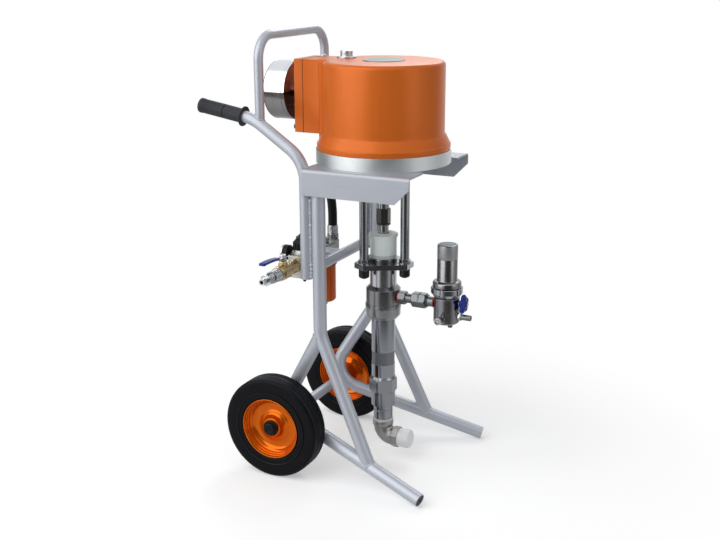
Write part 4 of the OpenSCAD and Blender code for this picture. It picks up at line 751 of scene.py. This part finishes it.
def cover_top():
    """The bright disc, the filler with its knurled cap and rivets, and the small plug."""
    turned_piece("top_disc_turned", "disc",
                 [(0, 0), (50, 0), (50, 0.9), (49.2, 1.5), (46, 1.5), (45.5, 1.2), (44.6, 1.2), (44.2, 1.5), (0, 1.5)],
                 (0, 0, COVER_TOP), steps=96, instead=("top_fittings",))
    filler = Blank()
    x, y = FILLER
    filler.lathe([(0, 0), (23.5, 0), (23.5, 3), (22.6, 4), (16.5, 4), (16, 5.4), (0, 5.4)], (x, y, COVER_TOP))
    filler.lathe([(0, 5.2), (14.2, 5.2), (15, 6), (15, 8.4), (14.2, 9), (14.2, 9.8), (15, 10.4), (15, 15.6)]
                 + arc((12.4, 15.4), 2.6, 0, 90, 4) + [(0, 18)], (x, y, COVER_TOP))
    for turn in (20, 140, 260):
        filler.lathe([(0, 0), (2.6, 0), (2.4, 1), (1.4, 1.5), (0, 1.6)], (*polar(19.5, turn, x, y), 1007.3), steps=20)
    filler.prism(6, 7, 3.4, (39, 180.5, 1004.4), edge=0.7)
    filler.lathe([(0, 0), (8.5, 0), (8.5, 1), (0, 1)], (39, 180.5, 1003.5), steps=32)
    filler.done("filler_cap_turned", "cap_metal")


def muffler_seams():
    """The drum's rolled seams, and a dark red ring round its neck that paints the shade and the orange box's reflection
    there.
    """
    seams = Blank()
    for y in (237.5, 282.5):
        seams.ring(70.7, 0.8, (0, y, DRUM.z), Y, 96)
    seams.done("muffler_seams", "chrome")
    # Painted shade and reflection: this red ring stands for the dark red shade where the neck meets the box.
    bead = Blank()
    bead.ring(16.2, 1.4, (0, 212.6, DRUM.z), Y, 48)
    bead.done("muffler_neck_painted_shade", "sealant")


# ---------- Cart ----------
def weld_beads():
    """The long welds between legs and handles, and a ring weld at each joint."""
    beads = Blank()
    for side in SIDES:
        for face, offset in ((1, 6.6), (-1, 5.6)):
            path = [(side * 161 + side * face * offset, 108.6, 507 + 3.2 * i) for i in range(61)]
            beads.sweep(path, 3.6, ripple(61, 3 + side + face, 0.2))
        ring_welds(beads, side)
    beads.done("weld_beads", "tube")


def ring_welds(beads, side):
    """One side's joints: (tube's foot, its axis, radius, other tube's point, its axis, radius, bead)."""
    corner, tip = Vector((122.5, 225, 138)), Vector((208, -193, 15.36))
    bend, foot = Vector((160, 91, 366)), Vector((178.136, -47, 58.2))
    rise = Vector((160.2, 89.4, 366.3)) - corner
    joints = (
        (bend, foot - bend, 16, corner, tip - corner, 16, 2.4),
        (corner, rise, 16, bend, foot - bend, 16, 2.4),
        (Vector((160, 242, 950)), -Z, 11, Vector((162, 124, 783)), Vector((0, 134.5, 90)), 14, 1.9),
        (Vector((0, 91, 538)), X, 12.5, Vector((160, 91, 0)), Z, 16, 1.9),
    )
    for seed, (start, axis, radius, host, host_axis, host_radius, bead) in enumerate(joints, 1):
        line = saddle(start, axis, radius - 0.5, host, host_axis, host_radius - 0.5)
        line = [Vector((point.x * side, point.y, point.z)) for point in line]
        beads.sweep(line, bead, ripple(len(line), seed, 0.14), True)


def grip_sleeves():
    """The two grips with their flanges, grooves and raised panels."""
    along = Vector((0, 0.9863, 0.165))
    body = [(0, 118.5), (14.3, 118.5), (14.3, 0), (22.8, 0), (23.75, 0.8), (23.75, 2.4), (22.6, 3.5), (19.4, 4.6),
            (17.8, 7), (17, 11), (17, 50.2), (15.5, 50.8), (15.5, 53.4), (17, 54), (17, 113.6), (17.8, 114.8),
            (17.8, 119.4)] + arc((14.7, 119.4), 3.1, 0, 90, 4) + [(0, 122.5)]
    grips = Blank()
    for side in SIDES:
        foot = Vector((side * 162, 399, 896.5)) - along * 117.5
        grips.lathe(body, foot, along, 64)
        for face in SIDES:
            for start, end in ((15, 46), (58, 109)):
                grip_panel(grips, foot, along, face, start, end)
    grips.done("grip_sleeves", "grip", instead=("grips",))


def grip_panel(grips, foot, along, face, start, end):
    """A raised outline with round corners on the side of a grip."""
    up = along.cross(X).normalized()
    half, corner, ease_in = math.radians(26), 0.18, 3
    outline = []
    for cx, cy, first in ((end - ease_in, half - corner, 0), (start + ease_in, half - corner, 90),
                          (start + ease_in, corner - half, 180), (end - ease_in, corner - half, 270)):
        for i in range(5):
            turn = math.radians(first + 22.5 * i)
            outline.append((cx + ease_in * math.cos(turn), cy + corner * math.sin(turn)))
    line = [foot + along * a + (X * face * math.cos(t) + up * math.sin(t)) * 17 for a, t in outline]
    grips.sweep(line, 0.45, closed=True)


# ---------- Pump ----------
def elbow_rings():
    """The tape at the elbow's thread, its socket, the neck above it and the collar at its mouth."""
    turned_piece("elbow_sealant", "tape",
                 [(22, 103.6), (24.9, 104), (25.3, 105.6), (24.8, 107), (25, 108.2), (22, 109), (22, 103.6)])
    turned_piece("elbow_socket", "iron",
                 [(23.4, 86)] + arc((24.6, 90.5), 1.6, -60, 0, 3)
                 + [(26.3, 94), (26.3, 101.6), (25.6, 103), (24.4, 103.8), (23.4, 103.8), (23.4, 86)])
    turned_piece("elbow_neck", "cylinder",
                 [(23.5, 108.4), (24.1, 108.8), (24.1, 130.6), (23.2, 131.4), (23.2, 133.4), (24.1, 134.2),
                  (24.1, 145.2), (23.5, 145.4), (23.5, 108.4)])
    collar = Blank()
    collar.prism(8, 26.6, 15.2, (0, -31.9, MOUTH_Z), -Y, 22.5, 1.6)
    collar.ring(24.2, 1.2, (0, -30.6, MOUTH_Z), -Y, 48)
    collar.done("elbow_collar", "iron")


def cup_rings():
    """The rims of the cup's lid, the ring under the cup and the collar on the coupling."""
    lip = Blank()
    lip.ring(34.4, 1.5, (0, 0, 588.2), steps=72)
    lip.lathe([(15, 590.2), (22, 590.2), (22.5, 591.2), (21.4, 592), (15, 592), (15, 590.2)])
    lip.done("cup_lid_rim", "white")
    turned_piece("cup_base_ring", "nut", [(32, 528.2), (34.2, 528.2), (34.4, 529.4), (34, 531.4), (32.9, 532),
                                          (32, 532), (32, 528.2)])
    turned_piece("coupling_collar", "gunmetal", [(13.2, 612.4), (17.2, 612.4), (17.6, 613), (17.6, 615.4),
                                                 (13.2, 615.6), (13.2, 612.4)], body="plunger")


def tie_rod_ends():
    """A washer and nut over the tie plate and a rod's end under it, at each tie rod."""
    nuts, ends = Blank(), Blank()
    for turn in (-90, 30, 150):
        x, y = polar(57, turn)
        nuts.lathe([(11.2, 0), (16, 0), (16, 1.9), (11.2, 1.9), (11.2, 0)], (x, y, 522.6), steps=40)
        nuts.prism(6, 14.2, 8, (x, y, 524.4), edge=1, turn=turn)
        ends.lathe([(0, 0), (6.4, 0), (7, 0.7), (7, 3), (0, 3)], (x, y, 485.2), steps=32)
    nuts.done("tie_rod_nuts", "steel")
    ends.done("tie_rod_ends", "steel")


# ---------- Outlet and filter ----------
def thread(threads, radius, foot, axis, turns, pitch):
    """Thread crests along a stub."""
    profile = [(radius - 1.2, 0)]
    for i in range(turns):
        profile += [(radius - 0.5, pitch * i + 0.1), (radius + 0.35, pitch * (i + 0.5)),
                    (radius - 0.5, pitch * (i + 1) - 0.1)]
    profile += [(radius - 1.2, pitch * turns), profile[0]]
    threads.lathe(profile, foot, axis, 40)


def outlet_line():
    """The red sealant, the union's collars and the threads of the stubs."""
    sealant = Blank()
    for y, ring in ((-43.1, 14.5), (-79.2, 12.4), (-136.2, 13.2)):
        path = [(x, y, z) for x, z in arc((0, LINE_Z), ring, 0, 350, 35)]
        sealant.sweep(path, 1.25, ripple(36, int(-y), 0.22), True)
    sealant.done("outlet_sealant", "sealant")
    collars = Blank()
    collars.lathe([(0, 0), (18.6, 0), (19.2, 0.6), (19.2, 2.6), (18.6, 3.2), (0, 3.2)], (0, -96.8, LINE_Z), -Y, 48)
    collars.ring(13.4, 1.5, (0, -119.4, LINE_Z), -Y, 40)
    collars.done("union_collar", "fitting")
    threads = Blank()
    thread(threads, 11.3, (0, -64.6, LINE_Z), -Y, 7, 2)
    thread(threads, 6.9, (-47.6, FILTER.y, PORT_Z), -X, 5, 1.9)
    thread(threads, 6.9, (0, -219.6, PORT_Z), -Y, 5, 1.9)
    threads.done("fitting_threads", "fitting")


def filter_head():
    """The filter's closed tube, its top disc and the hexagons of its two ports."""
    axis = (0, FILTER.y, 0)
    turned_piece("filter_head", "filter",
                 [(0, 477.2), (33.4, 477.2), (34.5, 478.3), (34.5, 488.6), (33.7, 490.2), (31.6, 492), (30.6, 492.5),
                  (27.2, 492.5), (25.2, 493.4), (24.5, 495.2), (24.5, 545.8), (24.2, 546.4), (24.2, 547.4), (24.5, 548),
                  (24.5, 578.9), (24, 580.6), (22.7, 581.5), (20.4, 581.5), (20, 580.9), (0, 580.9)],
                 axis, steps=96, instead=("filter_tube",))
    turned_piece("filter_top_disc", "disc",
                 [(0, 580.8), (19.6, 580.8), (19.6, 581.3), (19.2, 581.6), (0, 581.6)], axis, steps=64)
    ports = Blank()
    ports.prism(6, 10.2, 7, (-30.2, FILTER.y, PORT_Z), -X, 0, 0.9)
    ports.prism(6, 10.2, 7, (0, -198.2, PORT_Z), -Y, 30, 0.9)
    ports.lathe([(0, 0), (8.4, 0), (8.9, 0.6), (8.9, 5), (8, 6), (0, 6)], (-52.5, FILTER.y, PORT_Z), -X, 32)
    ports.done("filter_ports", "zinc")


def bleed_handle():
    """The blue bleed handle, five rounded lobes grown out of one hub, and its steel stem."""
    lobes = Blank()
    lobes.lathe([(0, 5.8), (12.4, 5.8), (12.4, 15.6), (9.4, 19), (5, 21.5), (0, 21.5)], BLEED, -Y, 32)
    for lobe in range(5):
        x, z = polar(14.4, 90 + 72 * lobe)
        part = bmesh.new()
        bmesh.ops.create_uvsphere(part, u_segments=20, v_segments=12, radius=0.5)
        bmesh.ops.scale(part, vec=(19.6, 13.5, 19.6), verts=part.verts)
        lobes.take(part, BLEED + Vector((x, -11.8, z)))
    piece = lobes.done("bleed_handle_wings", "blue", "bleed_valve", ("bleed_handle",), 180)
    remesh = piece.modifiers.new("grown", "REMESH")
    remesh.mode, remesh.voxel_size, remesh.use_smooth_shade = "VOXEL", 0.0009, True
    soft = piece.modifiers.new("softened", "SMOOTH")
    soft.factor, soft.iterations = 0.5, 8
    view = bpy.context.evaluated_depsgraph_get()
    grown = bpy.data.meshes.new_from_object(piece.evaluated_get(view))
    piece.modifiers.clear()
    piece.data = grown
    stem = Blank()
    stem.lathe([(0, 0.4), (6, 0.4), (6, 6.6), (0, 6.6)], BLEED, -Y, 32)
    stem.lathe([(2.4, 22.4), (2.4, 21), (4.4, 21), (4.8, 21.6), (4.8, 22.9), (2.8, 23), (2.4, 22.4)], BLEED, -Y, 32)
    stem.done("bleed_stem", "zinc", "bleed_valve")


# ---------- Air unit ----------
def lever():
    """A pressed steel lever in a blue dipped sleeve, held by a nut."""
    steel = Blank()
    steel.lathe([(0, 13), (4, 13), (4, 39), (3.2, 40), (0, 40)], LEVER, steps=28)
    steel.prism(6, 8, 5, LEVER + Z * 37.6, edge=0.9)
    steel.lathe([(4, 0), (8.6, 0), (8.6, 1.2), (4, 1.2), (4, 0)], LEVER + Z * 36.6, steps=32)
    steel.prism(6, 8.4, 6, LEVER + Z * 28.6, edge=0.9, turn=30)
    steel.lathe([(0, 0), (8.4, 0), (8.4, 2.6), (0, 2.6)], LEVER + Z * 34.2, steps=32)
    steel.slab((28, 13, 2.6), LEVER + Vector((-14, 0, 36.2)), 0.5)
    steel.done("lever_plate", "zinc", "air_valve", ("air_valve_lever",))
    sleeve, length = Blank(), 72
    part = block((length, 15.6, 6.4))
    long = [edge for edge in part.edges if abs((edge.verts[0].co - edge.verts[1].co).x) > 1]
    bmesh.ops.subdivide_edges(part, edges=long, cuts=8, use_grid_fill=True)
    for v in part.verts:
        far = 0.5 - v.co.x / length
        v.co.z += 3.2 * math.sin(far * math.pi * 0.5) + 1.2 * math.sin(far * math.pi)
        v.co.y *= 0.86 + 0.14 * math.sin(min(far * 1.25, 1) * math.pi * 0.5)
    ease(part, 1.6)
    sleeve.take(part, LEVER + Vector((-60.5, 0, 38)))
    sleeve.done("lever_sleeve", "blue", "air_valve")


def castings():
    """Ribs, rims and cap screws on the regulator and the lubricator head."""
    ribs = Blank()
    for i in range(6):
        x = -106 + 9.6 * i
        ribs.slab((2.6, 4.4, 40), (x, 152.6, 512), 0.9)
        ribs.slab((2.6, 4.4, 34), (x, 203.6, 505), 0.9)
    for z in (486.5, 534.5):
        ribs.slab((62.6, 54.4, 3), (KNOB.x, UNIT.y, z), 1.2)
    ribs.lathe([(0, 0), (26.6, 0), (27.4, 0.8), (27.4, 4), (26.6, 4.8), (0, 4.8)], (KNOB.x, UNIT.y, 538.4), steps=64)
    for z in (497, 541):
        ribs.slab((59, 51.4, 3), (BOWL.x, UNIT.y, z))
    for i in range(5):
        ribs.slab((2.6, 3.2, 34), (8 + 11 * i, 152.4, 519), 0.9)
    ribs.done("casting_ribs", "casting")
    screws = Blank()
    head = [(0, 2.2), (2, 2.2), (2, 4.2), (3.4, 4.2), (3.9, 3.6), (3.9, 0), (0, 0)]
    for centre, half_x, half_y, z in ((KNOB.x, 26, 21, 535.6), (BOWL.x, 24, 20, 543.5)):
        for x in (centre - half_x, centre + half_x):
            for y in (UNIT.y - half_y, UNIT.y + half_y):
                screws.lathe(head, (x, y, z), steps=24)
    screws.done("casting_screws", "bolt")


def valve_rings():
    """The rings on the ball valve's ends and the nut round its stem."""
    brass = Blank()
    for x in (-203.5, -117.5):
        brass.ring(16.4, 1.1, (x, UNIT.y, UNIT.z), X, 48)
    brass.lathe([(0, 0), (11, 0), (11.6, 0.7), (11.6, 4.3), (11, 5), (0, 5)], LEVER + Z * 16, steps=40)
    brass.prism(6, 11.4, 6, (LEVER.x, LEVER.y, 537.6), edge=1)
    brass.done("valve_rings", "brass")


def gauge_bezel_and_dial(face):
    """The bezel and the plate that carries the scale."""
    turned_piece("gauge_bezel", "zinc", [(16.6, 1.6), (16.6, 4.8), (18.2, 5.2), (19.2, 4.4), (19.35, 2.2), (19, 0.6),
                                         (16.6, 1.6)], face, Y)
    turned_piece("gauge_dial", "dial", [(1.3, 0), (16.4, 0), (16.4, 0.5), (1.3, 0.5), (1.3, 0)], face, Y, 64)


def gauge_scale(face):
    """Forty steps over three quarters of a turn, with a number at every tenth."""
    scale = Blank()
    for i in range(41):
        turn, tenth = math.radians(225 - 270 * i / 40), i % 10 == 0
        long = 2.8 if tenth else 1.5
        part = block((0.7 if tenth else 0.45, 0.16, long))
        bmesh.ops.rotate(part, verts=part.verts, matrix=Matrix.Rotation(turn - math.pi / 2, 3, "Y"))
        scale.take(part, face + Vector((-math.cos(turn), 0, math.sin(turn))) * (15.6 - long / 2) + Y * 0.55)
    for i in range(5):
        turn = math.radians(225 - 67.5 * i)
        text = bpy.data.curves.new("number", "FONT")
        text.body, text.size, text.extrude = str(4 * i), 4.2, 0.07
        text.align_x = text.align_y = "CENTER"
        holder = bpy.data.objects.new("number", text)
        part = bmesh.new()
        part.from_mesh(bpy.data.meshes.new_from_object(holder))
        for angle, axis in ((math.pi / 2, "X"), (math.pi, "Z")):
            bmesh.ops.rotate(part, verts=part.verts, matrix=Matrix.Rotation(angle, 3, axis))
        bpy.data.objects.remove(holder)
        bpy.data.curves.remove(text)
        scale.take(part, face + Vector((-math.cos(turn), 0, math.sin(turn))) * 10.4 + Y * 0.6)
    scale.done("gauge_scale", "ink")


def bowl_trim():
    """The bowl's ribbed collar and its drain."""
    collar = Blank()
    collar.lathe([(24, 0), (28.6, 0), (29.2, 0.8), (29.2, 7), (28.4, 8), (24, 8), (24, 0)],
                 (BOWL.x, BOWL.y, 484.6), steps=64)
    for i in range(24):
        collar.slab((1.8, 1.8, 7), (*polar(29, 15 * i, BOWL.x, BOWL.y), 488.6), 0.5)
    collar.done("bowl_collar", "black")
    turned_piece("bowl_drain", "zinc", [(0, 0), (4.6, 0), (5.2, 0.7), (5.2, 5), (6.6, 6), (6.6, 9), (0, 9)],
                 (BOWL.x, BOWL.y, 376.4), steps=32)


def hose_ferrules():
    """Crimped ferrules at both ends of the hose."""
    ferrules = Blank()
    crimps = [(11.7, 0), (13.4, 0)]
    for i in range(4):
        crimps += [(14.1, 0.6 + 4.8 * i), (14.1, 3 + 4.8 * i), (13.3, 3.6 + 4.8 * i), (13.3, 4.8 + 4.8 * i)]
    crimps += [(13.3, 20.2), (12.6, 21), (11.7, 21), crimps[0]]
    for x, foot, axis in ((73, 555.2, Z), (36, 813.8, -Z)):
        ferrules.lathe(crimps, (x, UNIT.y, foot), axis, 48)
    ferrules.done("hose_ferrules", "zinc")


# ---------- Stage ----------
def white_rays(r):
    """The glossy rays, and the rays that see the backdrop as white."""
    rays = r.tree.nodes.new("ShaderNodeLightPath")
    camera, glossy, through = (Field(r, rays.outputs[n]) for n in (
        "Is Camera Ray", "Is Glossy Ray", "Is Transmission Ray"))
    return glossy, camera.maths("MAXIMUM", camera, through)


def floor(context, radius):
    """A round pale floor that fades to white at its edge."""
    centre = at(0, 60, 0)
    bm = bmesh.new()
    bmesh.ops.create_circle(bm, cap_ends=True, segments=96, radius=radius)
    bmesh.ops.translate(bm, verts=bm.verts, vec=centre)
    mesh = bpy.data.meshes.new("floor")
    bm.to_mesh(mesh)
    bm.free()
    ground = bpy.data.objects.new("floor", mesh)
    context.scene.collection.objects.link(ground)
    r = Recipe("pale_floor")
    glossy, seen = white_rays(r)
    reach = r.vector("LENGTH", r.spot((1, 1, 1), centre), output=1)
    fade = r.ramp(reach / radius, (0.5, 0), (0.95, 1))
    matt = r.node("ShaderNodeBsdfDiffuse", None, {"Color": r.mix(fade, (0.8, 0.8, 0.8), (0, 0, 0))})
    glow = r.node("ShaderNodeEmission", None, {"Color": (1, 1, 1, 1), "Strength": 0.34 + fade * 0.66})
    both = r.node("ShaderNodeAddShader", None, {0: matt, 1: glow})
    plain = r.node("ShaderNodeBsdfDiffuse", None, {"Color": (0.8, 0.8, 0.8, 1)})
    r.close(r.node("ShaderNodeMixShader", None, {"Fac": seen.maths("MAXIMUM", seen, glossy * 0.6), 1: plain, 2: both}))
    mesh.materials.append(r.material)


def studio(context):
    """White all round for the camera; for metal, white behind with dimmer walls where the room is open."""
    r = Recipe("studio", world=True)
    glossy, seen = white_rays(r)
    near = r.vector("DOT_PRODUCT", r.place, (-0.895, -0.446, 0), 1)
    left = r.vector("DOT_PRODUCT", r.place, (-0.446, 0.895, 0), 1)
    turn = near.maths("ARCTAN2", left, near) / math.tau + 0.5
    walls = r.ramp(turn, (0, 1), (0.13, 0.9), (0.2, 0.3), (0.27, 0.7), (0.35, 0.6), (0.42, 0.1), (0.5, 0.05),
                   (0.57, 0.09), (0.615, 0.9), (0.7, 1), (0.77, 0.9), (0.82, 0.18), (0.9, 0.25), (0.96, 0.9),
                   (1, 1))
    sky = r.ramp(r.part(r.place, 2), (0.28, 0), (0.62, 1))
    seen_by_metal = r.mix(sky, walls, (0.92, 0.94, 0.96))
    room = r.node("ShaderNodeBackground", None, {
        "Color": r.mix(glossy, (0.97, 0.98, 1), seen_by_metal), "Strength": 0.38 + glossy * 0.62})
    white = r.node("ShaderNodeBackground", None, {"Color": (1, 1, 1, 1), "Strength": 1})
    r.close(r.node("ShaderNodeMixShader", None, {"Fac": seen, 1: room, 2: white}), "ShaderNodeOutputWorld")
    context.scene.world = r.material


def lamp(context, name, place, size, power):
    """A round soft lamp that faces the pump."""
    data = bpy.data.lights.new(name, "AREA")
    data.shape, data.size, data.energy = "DISK", size, power
    added = bpy.data.objects.new(name, data)
    added.location = place
    added.rotation_euler = (at(0, 0, 600) - place).to_track_quat("-Z", "Y").to_euler()
    context.scene.collection.objects.link(added)


# ---------- Operators ----------
class SPRAYER_OT_camera(bpy.types.Operator):
    """Stand the camera in front of the operator's right side"""

    bl_idname = "sprayer.camera"
    bl_label = "Camera"

    def execute(self, context):
        view = context.scene.sprayer_view
        data = bpy.data.cameras.new("camera")
        data.sensor_width, data.lens = 36, view.lens
        camera = bpy.data.objects.new("camera", data)
        turn = Matrix.Rotation(view.heading, 4, "Z")
        tilt = Matrix.Rotation(math.pi / 2 - view.dip, 4, "X")
        roll = Matrix.Rotation(view.roll, 4, "Z")
        camera.matrix_world = Matrix.Translation(PUMP + Vector(view.eye)) @ turn @ tilt @ roll
        context.scene.collection.objects.link(camera)
        context.scene.camera = camera
        context.scene.view_settings.view_transform = "Standard"
        return {"FINISHED"}


class SPRAYER_OT_stage(bpy.types.Operator):
    """Lay a pale floor and hang soft lamps round the sprayer"""

    bl_idname = "sprayer.stage"
    bl_label = "Stage"

    def execute(self, context):
        floor(context, context.scene.sprayer_view.floor)
        studio(context)
        lamp(context, "key_lamp", at(-2170, 1435, 2150), 4.4, 86)
        lamp(context, "fill_lamp", at(-500, -2600, 1300), 1.6, 7)
        lamp(context, "back_lamp", at(1900, 500, 2200), 1.4, 16)
        return {"FINISHED"}


class SPRAYER_OT_finishes(bpy.types.Operator):
    """Give every CAD node its finish"""

    bl_idname = "sprayer.finishes"
    bl_label = "Finishes"

    def execute(self, context):
        build_finishes(context.scene.sprayer_paint)
        for finish, nodes in NODE_FINISH.items():
            for name in nodes:
                slots = frame["nodes"][name].data.materials
                slots.clear()
                slots.append(FINISHES[finish])
        return {"FINISHED"}


class SPRAYER_OT_wheels(bpy.types.Operator):
    """Turn the tyres, the dished rims and the axle caps"""

    bl_idname = "sprayer.wheels"
    bl_label = "Wheels"

    def execute(self, context):
        wheel(-1, "right")
        wheel(1, "left")
        axle_caps()
        return {"FINISHED"}


class SPRAYER_OT_motor(bpy.types.Operator):
    """Shape the motor cover, its fillets to the valve box, the seam, the screws and the muffler's seams"""

    bl_idname = "sprayer.motor"
    bl_label = "Air motor"

    def execute(self, context):
        motor_cover()
        box_fillets()
        box_seam()
        box_screws()
        cover_top()
        muffler_seams()
        return {"FINISHED"}


class SPRAYER_OT_cart(bpy.types.Operator):
    """Lay the weld beads of the cart and mould its grips"""

    bl_idname = "sprayer.cart"
    bl_label = "Cart"

    def execute(self, context):
        weld_beads()
        grip_sleeves()
        return {"FINISHED"}


class SPRAYER_OT_pump(bpy.types.Operator):
    """Add the pump's sealing rings, collars, thread ends and the cast elbow's collar"""

    bl_idname = "sprayer.pump"
    bl_label = "Pump details"

    def execute(self, context):
        elbow_rings()
        cup_rings()
        tie_rod_ends()
        return {"FINISHED"}


class SPRAYER_OT_outlet(bpy.types.Operator):
    """Add the red sealant, the threads, the filter's closed head and the bleed handle"""

    bl_idname = "sprayer.outlet"
    bl_label = "Outlet and filter"

    def execute(self, context):
        outlet_line()
        filter_head()
        bleed_handle()
        return {"FINISHED"}


class SPRAYER_OT_air_unit(bpy.types.Operator):
    """Dress the ball valve, the regulator, its gauge, the lubricator and the hose ends"""

    bl_idname = "sprayer.air_unit"
    bl_label = "Air unit"

    def execute(self, context):
        lever()
        castings()
        valve_rings()
        face = Vector((GAUGE.x, 228.1, GAUGE.z))
        gauge_bezel_and_dial(face)
        gauge_scale(face)
        bowl_trim()
        hose_ferrules()
        return {"FINISHED"}


class SPRAYER_PT_panel(bpy.types.Panel):
    """Lists the sprayer's steps"""

    bl_label = "Sprayer"
    bl_idname = "SPRAYER_PT_panel"
    bl_space_type = "VIEW_3D"
    bl_region_type = "UI"
    bl_category = "Sprayer"

    def draw(self, context):
        for settings in (context.scene.sprayer_view, context.scene.sprayer_paint):
            for name in settings.__annotations__:
                self.layout.prop(settings, name)
        for step in STEPS:
            self.layout.operator(step.bl_idname)


STEPS = (SPRAYER_OT_camera, SPRAYER_OT_stage, SPRAYER_OT_finishes, SPRAYER_OT_wheels, SPRAYER_OT_motor,
         SPRAYER_OT_cart, SPRAYER_OT_pump, SPRAYER_OT_outlet, SPRAYER_OT_air_unit)
CLASSES = (SprayerView, SprayerPaint, *STEPS, SPRAYER_PT_panel)


def register():
    for cls in CLASSES:
        bpy.utils.register_class(cls)
    bpy.types.Scene.sprayer_view = bpy.props.PointerProperty(type=SprayerView)
    bpy.types.Scene.sprayer_paint = bpy.props.PointerProperty(type=SprayerPaint)


def unregister():
    del bpy.types.Scene.sprayer_paint
    del bpy.types.Scene.sprayer_view
    for cls in reversed(CLASSES):
        bpy.utils.unregister_class(cls)


def main():
    register()
    for step in STEPS:
        group, name = step.bl_idname.split(".")
        getattr(getattr(bpy.ops, group), name)()


if __name__ == "__main__":
    main()
